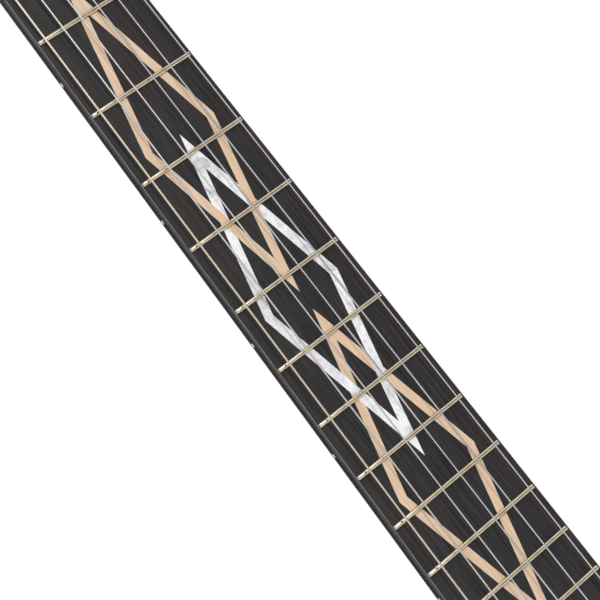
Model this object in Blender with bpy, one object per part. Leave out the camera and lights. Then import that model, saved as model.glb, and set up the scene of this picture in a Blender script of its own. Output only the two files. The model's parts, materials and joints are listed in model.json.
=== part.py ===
"""A bowl-back bouzouki with six single strings, built as separate pieces.

The instrument hangs upright. The origin is the middle of the fretboard's top edge at the nut.
+Z runs up to the headstock, -Y is the front that the player's right hand plays, and +X is the
treble side. Board coordinates (along, across, height) are easier for most pieces: along runs
from the nut towards the tail, across towards the treble side, and height off the fretboard.
"""
import math

import bmesh
import bpy
from mathutils import Matrix, Vector

# All sizes are in metres, and angles are in degrees.
GAP = 0.0003                     # between two pieces that touch
ROUND = 14                       # sides of a turned piece

# Scale, frets and fretboard.
SCALE_LENGTH = 0.650
FRET_COUNT = 22
NUT_END_WIDTH = 0.0433
WIDENING = 0.0394                # width gained per metre along the board
BOARD_THICKNESS = 0.006
BOARD_PAST_FRETS = 0.010
FRET_WIDTH = 0.0021
CROWN_HEIGHT = 0.0009
FRET_INSET = 0.0007              # from the board's edge to the end of a fret
TANG_WIDTH = 0.0006
TANG_DEPTH = 0.0016
CROWN_SIDES = 6

# Strings, bass first.
STRING_DIAMETERS = (0.00095, 0.00075, 0.00065, 0.00070, 0.00070, 0.00070)
NUT_SPACING = 0.0077
BRIDGE_SPACING = 0.0105
TAIL_SPACING = 0.0080
HEIGHT_AT_NUT = 0.0022           # of a string's middle, above the fretboard
HEIGHT_AT_BRIDGE = 0.0082
WINDING_TURNS = 2.25
WINDING_PITCH = 0.00120
WINDING_TOP = 0.0046             # of the first turn, above the headstock's face
WINDING_STEPS = 10               # per turn

# Nut, neck and truss rod.
NUT_THICKNESS = 0.005
NUT_ABOVE_BOARD = 0.0026
NUT_SLOT_WIDTH = 0.0018
NECK_DEPTH_AT_NUT = 0.0155
NECK_DEPTH_AT_HEEL = 0.0190
HEEL_LENGTH = 0.048
NECK_SIDES = 12
ROD_WIDTH = 0.006
ROD_DEPTH = 0.009
ROD_START = 0.010
ROD_TO_BODY = 0.013
TENON_WIDTH = 0.018
TENON_DEPTH = 0.016
TENON_LENGTH = 0.022
TENON_DROP = 0.005               # below the rim of the bowl

# Headstock.
HEAD_TILT = 14.0
HEAD_DROP = 0.0035               # of its face below the fretboard, at the nut
HEAD_LENGTH = 0.152
HEAD_THICKNESS = 0.013
VENEER_THICKNESS = 0.002
HEAD_WIDE_HALF = 0.037
HEAD_NARROW_HALF = 0.032
HEAD_FLARE_LENGTH = 0.034
CREST_HEIGHT = 0.012
VOLUTE_DEPTH = 0.0045

# Tuning machines: a worm on the knob's shaft turns a gear on the string post.
POSTS_PER_SIDE = 3
POST_FIRST = 0.046               # along the headstock
POST_SPACING = 0.034
POST_FIRST_ACROSS = 0.023
POST_TAPER = 0.002               # each post sits this much nearer the middle
POST_RADIUS = 0.0030
POST_WAIST_RADIUS = 0.0026
POST_ABOVE_FACE = 0.0120
WAIST_TOP = 0.0062
WAIST_BOTTOM = 0.0008
PLATE_THICKNESS = 0.0012
PLATE_WIDTH = 0.0130
PLATE_MARGIN = 0.0140            # past the end posts
GEAR_TEETH = 14
THREAD_PITCH = 0.0020
GEAR_ADDENDUM = 0.00035
GEAR_DEDENDUM = 0.00065
GEAR_THICKNESS = 0.0024
WORM_ROOT_RADIUS = 0.00145
WORM_RADIUS = 0.00245
WORM_LENGTH = 0.0072
THREAD_TURNS = 2.5
THREAD_STEPS = 10                # per turn
LUG_THICKNESS = 0.0014
LUG_WIDTH = 0.0056
BUTTON_OFFSET = 0.0165           # from the post's axis to the near end of the button
BUTTON_LENGTH = 0.0140
BUTTON_WIDTH = 0.0165
BUTTON_THICKNESS = 0.0075

# Body.
BRIDGE_FROM_START = 0.272        # from the body's upper end to the bridge
BODY_LENGTH = 0.400
BODY_WIDTH = 0.310
WIDEST_FROM_START = 0.247
SHOULDER_HALF = 0.030
BOWL_DEPTH = 0.164
SHELL_THICKNESS = 0.0035
STAVES = 12
SIDE_STEPS = 9                   # along the shoulders
TAIL_STEPS = 9                   # round the lower end
SOUNDBOARD_THICKNESS = 0.0028
BINDING_WIDTH = 0.0020
HOLE_FROM_START = 0.162          # from the body's upper end to the sound hole's middle
HOLE_HALF_ACROSS = 0.046
HOLE_HALF_ALONG = 0.033
HOLE_SIDES = 32
BRACE_WIDTH = 0.006
BRACE_DEPTH = 0.010
BRACE_END_DEPTH = 0.004
BRACE_TO_WALL = 0.006
UPPER_BRACE_TO_HOLE = 0.046      # from the brace to the sound hole's middle
LOWER_BRACE_TO_HOLE = 0.052
NECK_BLOCK_LENGTH = 0.036
TAIL_BLOCK_HALF = 0.030
TAIL_BLOCK_DEPTH = 0.034
TAIL_BLOCK_LENGTH = 0.018
TAIL_BLOCK_TO_END = 0.015        # from the end of the body

# Bridge, saddle and pickguard.
BRIDGE_HALF = 0.056
BRIDGE_FOOT = 0.012
BRIDGE_TOP = 0.0068
BRIDGE_HEIGHT = 0.0098
BRIDGE_END_HEIGHT = 0.0034
SADDLE_THICKNESS = 0.003
SADDLE_PAST_STRINGS = 0.004
SADDLE_SLOT_DEPTH = 0.0045
PICKGUARD_THICKNESS = 0.0010
PICKGUARD_MARGIN = 0.005         # from the edge of the sound hole
PICKGUARD_WIDTH = 0.028
PICKGUARD_SWEEP = 160.0

# Tailpiece, cover and strap button.
ANCHOR_FROM_BRIDGE = 0.064
TAILPIECE_HALF = 0.028
TAILPIECE_THICKNESS = 0.0015
TAILPIECE_DROP = 0.034
ANCHOR_BAR_THICKNESS = 0.0025
ANCHOR_BAR_HEIGHT = 0.0058
ANCHOR_BAR_PAST_STRINGS = 0.0025
ANCHOR_HEIGHT = 0.0055           # of the string ends above the soundboard
COVER_HALF = 0.026
COVER_HEIGHT = 0.0105
COVER_WALL = 0.0010
BUTTON_BELOW_RIM = 0.016
BUTTON_SHANK_RADIUS = 0.003
BUTTON_FLANGE_RADIUS = 0.007
BUTTON_NECK_RADIUS = 0.0042
BUTTON_HEAD_LENGTH = 0.013

# Worked out from the sizes above.
BOARD_LENGTH = SCALE_LENGTH * (1 - 2 ** (-FRET_COUNT / 12)) + BOARD_PAST_FRETS
BOARD_UNDERSIDE = -BOARD_THICKNESS
NECK_TOP = BOARD_UNDERSIDE - GAP
SOUNDBOARD_TOP = NECK_TOP
RIM = SOUNDBOARD_TOP - SOUNDBOARD_THICKNESS - GAP
BODY_START = SCALE_LENGTH - BRIDGE_FROM_START
WIDEST_ALONG = BODY_START + WIDEST_FROM_START
BODY_END = BODY_START + BODY_LENGTH
HOLE_ALONG = BODY_START + HOLE_FROM_START
UPPER_BRACE_ALONG = HOLE_ALONG - UPPER_BRACE_TO_HOLE
LOWER_BRACE_ALONG = HOLE_ALONG + LOWER_BRACE_TO_HOLE
STRING_COUNT = len(STRING_DIAMETERS)
GEAR_PITCH_RADIUS = GEAR_TEETH * THREAD_PITCH / (2 * math.pi)
GEAR_TIP_RADIUS = GEAR_PITCH_RADIUS + GEAR_ADDENDUM
GEAR_ROOT_RADIUS = GEAR_PITCH_RADIUS - GEAR_DEDENDUM
WORM_OFFSET = GEAR_TIP_RADIUS + GAP + WORM_ROOT_RADIUS
HEAD_BACK = -VENEER_THICKNESS - GAP - HEAD_THICKNESS
PLATE_BACK = HEAD_BACK - GAP - PLATE_THICKNESS
WORM_LEVEL = PLATE_BACK - GAP - WORM_RADIUS
TENON_TOP = RIM - TENON_DROP
BUTTON_HEIGHT = RIM - BUTTON_BELOW_RIM
ANCHOR_ALONG = SCALE_LENGTH + ANCHOR_FROM_BRIDGE

TILT = math.radians(HEAD_TILT)
HEAD_FRAME = Matrix((
    (1.0, 0.0, 0.0, 0.0),
    (0.0, math.sin(TILT), -math.cos(TILT), HEAD_DROP),
    (0.0, math.cos(TILT), math.sin(TILT), NUT_THICKNESS + 2 * GAP + VENEER_THICKNESS * math.sin(TILT)),
    (0.0, 0.0, 0.0, 1.0),
))


# ---------------------------------------------------------------- places

def board(along, across, height):
    """The world point of a place given from the nut, the middle line and the board's top."""
    return Vector((across, -height, -along))


def head(across, along, height):
    """The world point of a place given on the headstock's face."""
    return HEAD_FRAME @ Vector((across, along, height))


def fret_along(number):
    return SCALE_LENGTH * (1 - 2 ** (-number / 12))


def board_half_width(along):
    return (NUT_END_WIDTH + WIDENING * along) / 2


def string_across(index, spacing):
    """A string's place across the board; index 0 is the lowest string."""
    return (index - (STRING_COUNT - 1) / 2) * spacing


def body_stations(inset=0.0):
    """Pairs of (along, half width) down one side of the body, drawn in by inset."""
    start = BODY_START + inset
    half = BODY_WIDTH / 2 - inset
    shoulder = SHOULDER_HALF - inset
    stations = []
    for step in range(SIDE_STEPS):
        rest = 1 - step / SIDE_STEPS
        along = WIDEST_ALONG - rest * (WIDEST_ALONG - start)
        stations.append((along, shoulder + (half - shoulder) * (1 - rest ** 2)))
    tail = BODY_END - inset - WIDEST_ALONG
    for step in range(TAIL_STEPS):
        angle = math.pi / 2 * step / TAIL_STEPS
        stations.append((WIDEST_ALONG + tail * math.sin(angle), half * math.cos(angle)))
    stations.append((WIDEST_ALONG + tail, 0.0))
    return stations


def body_outline(inset, height):
    """The body's closed outline at a height off the board, drawn in by inset."""
    stations = body_stations(inset)
    right = [board(along, half, height) for along, half in stations]
    left = [board(along, -half, height) for along, half in reversed(stations[:-1])]
    return right + left


def body_half_width(along, inset=0.0):
    """The body's half width at one place, read between its stations."""
    stations = body_stations(inset)
    for (a0, w0), (a1, w1) in zip(stations, stations[1:]):
        if a0 <= along <= a1:
            return w0 + (w1 - w0) * (along - a0) / (a1 - a0)
    return 0.0


# ---------------------------------------------------------------- mesh tools

def material(name, color, roughness, metallic=0.0):
    finish = bpy.data.materials.new(name)
    finish.use_nodes = True
    shader = finish.node_tree.nodes["Principled BSDF"]
    shader.inputs["Base Color"].default_value = (*color, 1.0)
    shader.inputs["Roughness"].default_value = roughness
    shader.inputs["Metallic"].default_value = metallic
    finish.diffuse_color = (*color, 1.0)
    return finish


def make_object(name, mesh_builder, finish=None, matrix=None, smooth_angle=None):
    """Turn a bmesh into an object, with its faces out and its own material."""
    bmesh.ops.remove_doubles(mesh_builder, verts=mesh_builder.verts, dist=1e-7)
    bmesh.ops.recalc_face_normals(mesh_builder, faces=mesh_builder.faces)
    mesh = bpy.data.meshes.new(name)
    mesh_builder.to_mesh(mesh)
    mesh_builder.free()
    if finish is not None:
        mesh.materials.append(finish)
    if smooth_angle is not None:
        mesh.shade_smooth()
        mesh.set_sharp_from_angle(angle=math.radians(smooth_angle))
    obj = bpy.data.objects.new(name, mesh)
    bpy.context.collection.objects.link(obj)
    if matrix is not None:
        obj.matrix_world = matrix
    return obj


def add_ring(bm, points):
    """A closed ring of edges through the points."""
    verts = [bm.verts.new(point) for point in points]
    return [bm.edges.new((a, b)) for a, b in zip(verts, verts[1:] + verts[:1])]


def add_loft(bm, rings):
    """A closed solid over rings with the same number of points; a ring may shrink to a point."""
    edges = [add_ring(bm, ring) for ring in rings]
    for near, far in zip(edges, edges[1:]):
        for edge, other in zip(near, far):
            bm.faces.new((edge.verts[0], edge.verts[1], other.verts[1], other.verts[0]))
    bmesh.ops.contextual_create(bm, geom=edges[0])
    bmesh.ops.contextual_create(bm, geom=edges[-1])
    flat = [edge for ring in edges for edge in ring]
    bmesh.ops.dissolve_degenerate(bm, edges=flat, dist=1e-8)


def add_prism(bm, outline, shift):
    """An outline of points, filled and extruded by a vector."""
    ring = add_ring(bm, outline)
    face = bmesh.ops.contextual_create(bm, geom=ring)["faces"][0]
    moved = bmesh.ops.extrude_face_region(bm, geom=[face], use_keep_orig=True)["geom"]
    bmesh.ops.translate(bm, vec=shift, verts=[v for v in moved if isinstance(v, bmesh.types.BMVert)])


def add_box(bm, low, high):
    """A box between two corners of a frame."""
    size = [h - l for l, h in zip(low, high)]
    middle = [(h + l) / 2 for l, h in zip(low, high)]
    place = Matrix.Translation(middle) @ Matrix.Diagonal((*size, 1.0))
    bmesh.ops.create_cube(bm, size=1.0, matrix=place)


def add_board_box(bm, along, across, height):
    """A box given by its ranges along, across and off the board."""
    low = (across[0], -height[1], -along[1])
    high = (across[1], -height[0], -along[0])
    add_box(bm, low, high)


def add_turned(bm, profile, origin, axis, side, steps=ROUND):
    """Spin (distance along the axis, radius) points round an axis, closed at both ends."""
    verts = [bm.verts.new(origin + axis * place + side * radius) for place, radius in profile]
    edges = [bm.edges.new(pair) for pair in zip(verts, verts[1:])]
    bmesh.ops.spin(bm, geom=verts + edges, cent=origin, axis=axis, angle=2 * math.pi, steps=steps,
                   use_merge=True)
    bmesh.ops.remove_doubles(bm, verts=bm.verts, dist=1e-7)


def closed_profile(steps):
    """A turned profile brought to the axis at both ends."""
    return [(steps[0][0], 0.0)] + list(steps) + [(steps[-1][0], 0.0)]


def cutter(name, bm):
    """A hidden tool for a Boolean."""
    tool = make_object(name, bm)
    tool.hide_render = True
    tool.display_type = "WIRE"
    return tool


def combine(target, tool, operation="DIFFERENCE"):
    step = target.modifiers.new(tool.name, "BOOLEAN")
    step.object = tool
    step.operation = operation
    step.solver = "EXACT"


# ---------------------------------------------------------------- fretboard and frets

def make_fretboard():
    """A tapered board with an open slot for each fret's tang."""
    half_slot = TANG_WIDTH / 2 + GAP
    floor = -TANG_DEPTH - GAP
    profile = [(0.0, 0.0)]
    for number in range(1, FRET_COUNT + 1):
        middle = fret_along(number)
        profile += [(middle - half_slot, 0.0), (middle - half_slot, floor),
                    (middle + half_slot, floor), (middle + half_slot, 0.0)]
    profile += [(BOARD_LENGTH, 0.0), (BOARD_LENGTH, BOARD_UNDERSIDE), (0.0, BOARD_UNDERSIDE)]
    rings = [[board(along, side * board_half_width(along), height) for along, height in profile]
             for side in (-1, 1)]
    bm = bmesh.new()
    add_loft(bm, rings)
    make_object("fretboard", bm, material("ebony_board", (0.022, 0.021, 0.022), 0.45))


def make_fret(number, finish):
    """A crowned wire with a tang, tapered at its ends."""
    middle = fret_along(number)
    reach = board_half_width(middle) - FRET_INSET
    half_tang = TANG_WIDTH / 2

    def ring(across, crown, tang):
        arc = []
        for step in range(CROWN_SIDES + 1):
            angle = math.pi * step / CROWN_SIDES
            arc.append((FRET_WIDTH / 2 * math.cos(angle), GAP + crown * math.sin(angle)))
        stem = [(-half_tang, GAP), (-half_tang, -tang), (half_tang, -tang), (half_tang, GAP)]
        return [board(middle + along, across, height) for along, height in arc + stem]

    bevel = CROWN_HEIGHT * 0.8
    low = CROWN_HEIGHT * 0.45
    bm = bmesh.new()
    add_loft(bm, [ring(-reach, low, TANG_DEPTH), ring(bevel - reach, CROWN_HEIGHT, TANG_DEPTH),
                  ring(reach - bevel, CROWN_HEIGHT, TANG_DEPTH), ring(reach, low, TANG_DEPTH)])
    make_object(f"fret_{number:02d}", bm, finish, smooth_angle=50)


def make_nut():
    """A bone nut with a slot for each string."""
    half = board_half_width(0.0)
    top = [(-half, BOARD_UNDERSIDE), (-half, NUT_ABOVE_BOARD)]
    for index, diameter in enumerate(STRING_DIAMETERS):
        middle = string_across(index, NUT_SPACING)
        floor = HEIGHT_AT_NUT - diameter / 2 - GAP
        left, right = middle - NUT_SLOT_WIDTH / 2, middle + NUT_SLOT_WIDTH / 2
        top += [(left, NUT_ABOVE_BOARD), (left, floor), (right, floor), (right, NUT_ABOVE_BOARD)]
    top += [(half, NUT_ABOVE_BOARD), (half, BOARD_UNDERSIDE)]
    bm = bmesh.new()
    add_prism(bm, [board(-GAP, across, height) for across, height in top],
              Vector((0, 0, NUT_THICKNESS)))
    make_object("nut", bm, material("bone_nut", (0.83, 0.79, 0.68), 0.4))


# ---------------------------------------------------------------- neck and headstock

def neck_depth(along):
    """How far the neck reaches below the fretboard, with the heel's sweep at its end."""
    plain = NECK_DEPTH_AT_NUT + (NECK_DEPTH_AT_HEEL - NECK_DEPTH_AT_NUT) * along / BODY_START
    heel_start = BODY_START - HEEL_LENGTH
    if along <= heel_start:
        return plain
    share = (along - heel_start) / HEEL_LENGTH
    heel = SHOULDER_HALF * BOWL_DEPTH / (BODY_WIDTH / 2) + (NECK_TOP - RIM)
    return plain + (heel - plain) * (1 - math.cos(math.pi / 2 * share))


def neck_ring(half, depth, place):
    """A D-shaped section; place turns (across, depth below the top) into a world point."""
    ring = []
    for step in range(NECK_SIDES + 1):
        angle = math.pi * step / NECK_SIDES
        across = math.copysign(abs(math.cos(angle)) ** 0.8, math.cos(angle)) * half
        ring.append(place(across, depth * math.sin(angle) ** 0.8))
    return ring


def head_half_width(along):
    """Half the headstock's width, with an S-shaped flare above the nut."""
    share = min(1.0, along / HEAD_FLARE_LENGTH)
    flare = (1 - math.cos(math.pi * share)) / 2
    straight = max(0.0, (along - HEAD_FLARE_LENGTH) / (HEAD_LENGTH - HEAD_FLARE_LENGTH))
    wide = HEAD_WIDE_HALF + (HEAD_NARROW_HALF - HEAD_WIDE_HALF) * straight
    throat = board_half_width(0.0)
    return throat + (wide - throat) * flare


def head_outline(start, height):
    """The headstock's outline, with a low dome between two scooped shoulders on top."""
    shoulder = HEAD_LENGTH - CREST_HEIGHT
    side = []
    flare_steps = 7
    for step in range(flare_steps + 1):
        along = start + (HEAD_FLARE_LENGTH - start) * step / flare_steps
        side.append((head_half_width(along), along))
    side.append((head_half_width(shoulder), shoulder))
    crest_half = side[-1][0] * 0.80
    crest_steps = 6
    for step in range(crest_steps):
        across = crest_half * (1 - step / crest_steps)
        rise = (1 + math.cos(math.pi * across / crest_half)) / 2
        side.append((across, shoulder + CREST_HEIGHT * (0.15 + 0.85 * rise)))
    side.append((0.0, HEAD_LENGTH))
    right = [Vector((across, along, height)) for across, along in side]
    left = [Vector((-across, along, height)) for across, along in reversed(side[:-1])]
    return right + left


def posts():
    """(number, across, along) of each string post; 1 to 3 are the bass side, from the nut."""
    places = []
    for step in range(POSTS_PER_SIDE):
        across = POST_FIRST_ACROSS - POST_TAPER * step
        along = POST_FIRST + POST_SPACING * step
        places.append((step + 1, -across, along))
        places.append((STRING_COUNT - step, across, along))
    return sorted(places)


def post_holes(name):
    bm = bmesh.new()
    for _, across, along in posts():
        place = Vector((across, along, 0.0))
        profile = closed_profile([(-0.05, POST_RADIUS + GAP), (0.02, POST_RADIUS + GAP)])
        add_turned(bm, profile, place, Vector((0, 0, 1)), Vector((1, 0, 0)))
    tool = cutter(name, bm)
    tool.matrix_world = HEAD_FRAME
    return tool


def make_neck():
    """Shaft, heel, tenon, volute and headstock in one piece of wood."""
    rings = []
    last = BODY_START - GAP
    shaft = [last]
    heel_steps = 5
    shaft += [last - HEEL_LENGTH * step / heel_steps for step in range(1, heel_steps + 1)]
    shaft += [0.20, 0.06, -NUT_THICKNESS]
    for along in shaft:
        def place(across, depth, along=along):
            return board(along, across, NECK_TOP - depth)
        rings.append(neck_ring(board_half_width(max(0.0, along)), neck_depth(max(0.0, along)), place))
    face = -VENEER_THICKNESS - 3 * GAP
    for along, depth in ((0.004, HEAD_THICKNESS + VOLUTE_DEPTH), (0.014, HEAD_THICKNESS + 0.002),
                         (0.026, HEAD_THICKNESS - 0.003)):
        def place(across, depth, along=along):
            return head(across, along, face - depth)
        rings.append(neck_ring(head_half_width(along) - 0.0004, depth, place))
    bm = bmesh.new()
    add_loft(bm, rings)
    neck = make_object("neck", bm, material("dark_neck", (0.020, 0.018, 0.018), 0.4),
                       smooth_angle=40)

    bm = bmesh.new()
    outline = head_outline(3 * GAP, HEAD_BACK)
    add_prism(bm, outline, Vector((0, 0, HEAD_THICKNESS)))
    slab = cutter("headstock_slab", bm)
    slab.matrix_world = HEAD_FRAME
    combine(neck, slab, "UNION")

    bm = bmesh.new()
    add_board_box(bm, (last - 0.010, last + TENON_LENGTH), (-TENON_WIDTH / 2, TENON_WIDTH / 2),
                  (TENON_TOP - TENON_DEPTH, TENON_TOP))
    combine(neck, cutter("tenon", bm), "UNION")

    bm = bmesh.new()
    add_board_box(bm, (ROD_START - GAP, BODY_START - ROD_TO_BODY + GAP),
                  (-ROD_WIDTH / 2 - GAP, ROD_WIDTH / 2 + GAP),
                  (NECK_TOP - ROD_DEPTH - 2 * GAP, NECK_TOP + 0.002))
    combine(neck, cutter("rod_channel", bm))
    combine(neck, post_holes("neck_post_holes"))

    bm = bmesh.new()
    outline = head_outline(0.0, -VENEER_THICKNESS)
    add_prism(bm, outline, Vector((0, 0, VENEER_THICKNESS)))
    veneer = make_object("headstock_veneer", bm, material("ebony_veneer", (0.022, 0.021, 0.022), 0.35),
                         matrix=HEAD_FRAME)
    combine(veneer, post_holes("veneer_post_holes"))

    bm = bmesh.new()
    add_board_box(bm, (ROD_START, BODY_START - ROD_TO_BODY), (-ROD_WIDTH / 2, ROD_WIDTH / 2),
                  (NECK_TOP - ROD_DEPTH - GAP, NECK_TOP - GAP))
    make_object("truss_rod", bm, material("rod_steel", (0.45, 0.45, 0.46), 0.4, 1.0))


# ---------------------------------------------------------------- tuning machines

def add_gear(bm, middle):
    """A spur gear on the post's axis, with one tooth facing the worm."""
    outline = []
    tooth = 2 * math.pi / GEAR_TEETH
    for number in range(GEAR_TEETH):
        centre = math.pi / 2 + number * tooth
        for share, radius in ((-0.25, GEAR_ROOT_RADIUS), (-0.125, GEAR_TIP_RADIUS),
                              (0.125, GEAR_TIP_RADIUS), (0.25, GEAR_ROOT_RADIUS)):
            angle = centre + share * tooth
            outline.append(Vector((radius * math.cos(angle), radius * math.sin(angle),
                                   middle - GEAR_THICKNESS / 2)))
    add_prism(bm, outline, Vector((0, 0, GEAR_THICKNESS)))


def make_string_post(number, across, along, finish):
    """A slender capstan with a waist for the windings, and its gear at the back."""
    gear_face = WORM_LEVEL - GEAR_THICKNESS / 2
    profile = closed_profile([
        (gear_face - 0.0004, POST_RADIUS), (WAIST_BOTTOM, POST_RADIUS),
        (WAIST_BOTTOM + 0.0004, POST_WAIST_RADIUS), (WAIST_TOP, POST_WAIST_RADIUS),
        (WAIST_TOP + 0.0004, POST_RADIUS), (POST_ABOVE_FACE - 0.0008, POST_RADIUS),
        (POST_ABOVE_FACE, POST_RADIUS - 0.0008)])
    place = HEAD_FRAME @ Matrix.Translation((across, along, 0.0))
    bm = bmesh.new()
    add_turned(bm, profile, Vector(), Vector((0, 0, 1)), Vector((1, 0, 0)), steps=14)
    post = make_object(f"string_post_{number}", bm, finish, matrix=place, smooth_angle=40)
    bm = bmesh.new()
    add_gear(bm, WORM_LEVEL)
    gear = cutter(f"post_gear_{number}", bm)
    gear.matrix_world = place
    combine(post, gear, "UNION")


def make_tuning_knob(number, across, along, finish):
    """A worm on a shaft with a flat oval button at its outer end."""
    side = math.copysign(1.0, across)
    outward = Vector((side, 0, 0))
    place = HEAD_FRAME @ Matrix.Translation((across, along + WORM_OFFSET, WORM_LEVEL))
    inner = -WORM_LENGTH / 2 - GAP - LUG_THICKNESS - 0.0008
    collar = BUTTON_OFFSET - 0.002
    profile = closed_profile([(inner, WORM_ROOT_RADIUS), (collar, WORM_ROOT_RADIUS),
                              (collar, 0.0026), (BUTTON_OFFSET + 0.002, 0.0026)])
    offset_start = Vector((0, math.cos(0.12), math.sin(0.12)))   # off the thread's own edges
    bm = bmesh.new()
    add_turned(bm, profile, Vector(), outward, offset_start, steps=14)
    knob = make_object(f"tuning_knob_{number}", bm, finish, matrix=place, smooth_angle=40)

    bm = bmesh.new()
    start = -THREAD_TURNS * THREAD_PITCH / 2
    root, crest = 0.00045, 0.00020
    deep = WORM_ROOT_RADIUS - 0.0003
    facing = Vector((0, -1, 0))
    corners = [(start - root, deep), (start - crest, WORM_RADIUS), (start + crest, WORM_RADIUS),
               (start + root, deep)]
    turn = Matrix.Rotation(-math.pi * THREAD_TURNS + math.pi, 4, "X")
    ring = add_ring(bm, [turn @ (Vector((1, 0, 0)) * x + facing * r) for x, r in corners])
    face = bmesh.ops.contextual_create(bm, geom=ring)["faces"][0]
    steps = int(THREAD_TURNS * THREAD_STEPS)
    travel = Vector((THREAD_TURNS * THREAD_PITCH / steps, 0, 0))
    bmesh.ops.spin(bm, geom=[face], cent=(0, 0, 0), axis=(1, 0, 0), dvec=travel,
                   angle=2 * math.pi * THREAD_TURNS, steps=steps)
    open_edges = [edge for edge in bm.edges if edge.is_boundary]
    if open_edges:
        bmesh.ops.holes_fill(bm, edges=open_edges)
    thread = cutter(f"worm_thread_{number}", bm)
    thread.matrix_world = place
    combine(knob, thread, "UNION")

    bm = bmesh.new()
    bmesh.ops.create_uvsphere(bm, u_segments=12, v_segments=6, radius=0.5)
    middle = side * (BUTTON_OFFSET + BUTTON_LENGTH / 2)
    size = Matrix.Diagonal((BUTTON_LENGTH, BUTTON_WIDTH, BUTTON_THICKNESS, 1.0))
    bmesh.ops.transform(bm, matrix=Matrix.Translation((middle, 0, 0)) @ size, verts=bm.verts)
    button = cutter(f"knob_button_{number}", bm)
    button.matrix_world = place
    combine(knob, button, "UNION")


def make_tuner_plate(name, side, finish):
    """A strip on the back of the headstock, with two bearing lugs for each worm shaft."""
    places = [(across, along) for _, across, along in posts() if across * side > 0]
    slope = -side * POST_TAPER / POST_SPACING
    first = min(places, key=lambda place: place[1])

    def middle_at(along):
        return first[0] + (along - first[1]) * slope

    low = first[1] - PLATE_MARGIN
    high = first[1] + POST_SPACING * (POSTS_PER_SIDE - 1) + PLATE_MARGIN + WORM_OFFSET
    half = PLATE_WIDTH / 2
    outline = [Vector((middle_at(along) + offset, along, PLATE_BACK))
               for along, offset in ((low, -half), (low, half), (high, half), (high, -half))]
    bm = bmesh.new()
    add_prism(bm, outline, Vector((0, 0, PLATE_THICKNESS)))
    plate = make_object(name, bm, finish, matrix=HEAD_FRAME)

    lugs, holes = bmesh.new(), bmesh.new()
    inner = WORM_LENGTH / 2 + GAP
    for across, along in places:
        worm = along + WORM_OFFSET
        for direction in (-1, 1):
            near, far = across + direction * inner, across + direction * (inner + LUG_THICKNESS)
            add_box(lugs, (min(near, far), worm - LUG_WIDTH / 2, WORM_LEVEL - LUG_WIDTH / 2),
                    (max(near, far), worm + LUG_WIDTH / 2, PLATE_BACK + PLATE_THICKNESS / 2))
        bearing = closed_profile([(-0.012, WORM_ROOT_RADIUS + GAP), (0.012, WORM_ROOT_RADIUS + GAP)])
        add_turned(holes, bearing, Vector((across, worm, WORM_LEVEL)), Vector((1, 0, 0)),
                   Vector((0, 1, 0)), steps=12)
        passage = closed_profile([(-0.004, POST_RADIUS + GAP), (0.004, POST_RADIUS + GAP)])
        add_turned(holes, passage, Vector((across, along, PLATE_BACK)), Vector((0, 0, 1)),
                   Vector((1, 0, 0)))
    lug_tool = cutter(f"{name}_lugs", lugs)
    lug_tool.matrix_world = HEAD_FRAME
    combine(plate, lug_tool, "UNION")
    hole_tool = cutter(f"{name}_holes", holes)
    hole_tool.matrix_world = HEAD_FRAME
    combine(plate, hole_tool)


def make_tuners():
    for name, side in (("tuner_plate_bass", -1), ("tuner_plate_treble", 1)):
        make_tuner_plate(name, side, material(f"{name}_metal", (0.62, 0.56, 0.42), 0.3, 1.0))
    for number, across, along in posts():
        make_string_post(number, across, along,
                         material(f"post_metal_{number}", (0.66, 0.62, 0.52), 0.25, 1.0))
        make_tuning_knob(number, across, along,
                         material(f"knob_{number}", (0.80, 0.76, 0.66), 0.3))


# ---------------------------------------------------------------- strings

def winding_route(index):
    """From the nut to the post and down round its waist, in headstock coordinates."""
    _, post_across, post_along = posts()[index]
    side = math.copysign(1.0, post_across)
    radius = STRING_DIAMETERS[index] / 2
    circle = POST_WAIST_RADIUS / math.cos(math.pi / 14) + GAP + radius
    start = HEAD_FRAME.inverted() @ board(-NUT_THICKNESS - 2 * GAP,
                                          string_across(index, NUT_SPACING), HEIGHT_AT_NUT)
    reach_across, reach_along = post_across * side - start.x * side, post_along - start.y
    distance = math.hypot(reach_across, reach_along)
    bearing = math.atan2(reach_along, reach_across)
    touch = bearing + math.pi - math.acos(circle / distance)
    points = [start]
    for step in range(int(WINDING_TURNS * WINDING_STEPS) + 1):
        angle = touch - 2 * math.pi * step / WINDING_STEPS
        height = WINDING_TOP - WINDING_PITCH * step / WINDING_STEPS
        points.append(Vector((post_across + side * circle * math.cos(angle),
                              post_along + circle * math.sin(angle), height)))
    return [HEAD_FRAME @ point for point in points]


def make_string(index, finish):
    """One string from the tailpiece over the saddle and the nut to its post."""
    anchor = board(ANCHOR_ALONG - GAP, string_across(index, TAIL_SPACING),
                   SOUNDBOARD_TOP + ANCHOR_HEIGHT)
    saddle = board(SCALE_LENGTH, string_across(index, BRIDGE_SPACING), HEIGHT_AT_BRIDGE)
    nut = board(0.0, string_across(index, NUT_SPACING), HEIGHT_AT_NUT)
    points = [anchor, saddle, nut] + winding_route(index)
    curve = bpy.data.curves.new(f"string_{index + 1}", "CURVE")
    curve.dimensions = "3D"
    curve.bevel_depth = STRING_DIAMETERS[index] / 2
    curve.bevel_resolution = 2
    curve.use_fill_caps = True
    curve.render_resolution_u = 0
    spline = curve.splines.new("POLY")
    spline.points.add(len(points) - 1)
    for place, point in zip(spline.points, points):
        place.co = (*point, 1.0)
    curve.materials.append(finish)
    obj = bpy.data.objects.new(f"string_{index + 1}", curve)
    bpy.context.collection.objects.link(obj)


# ---------------------------------------------------------------- body

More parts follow.
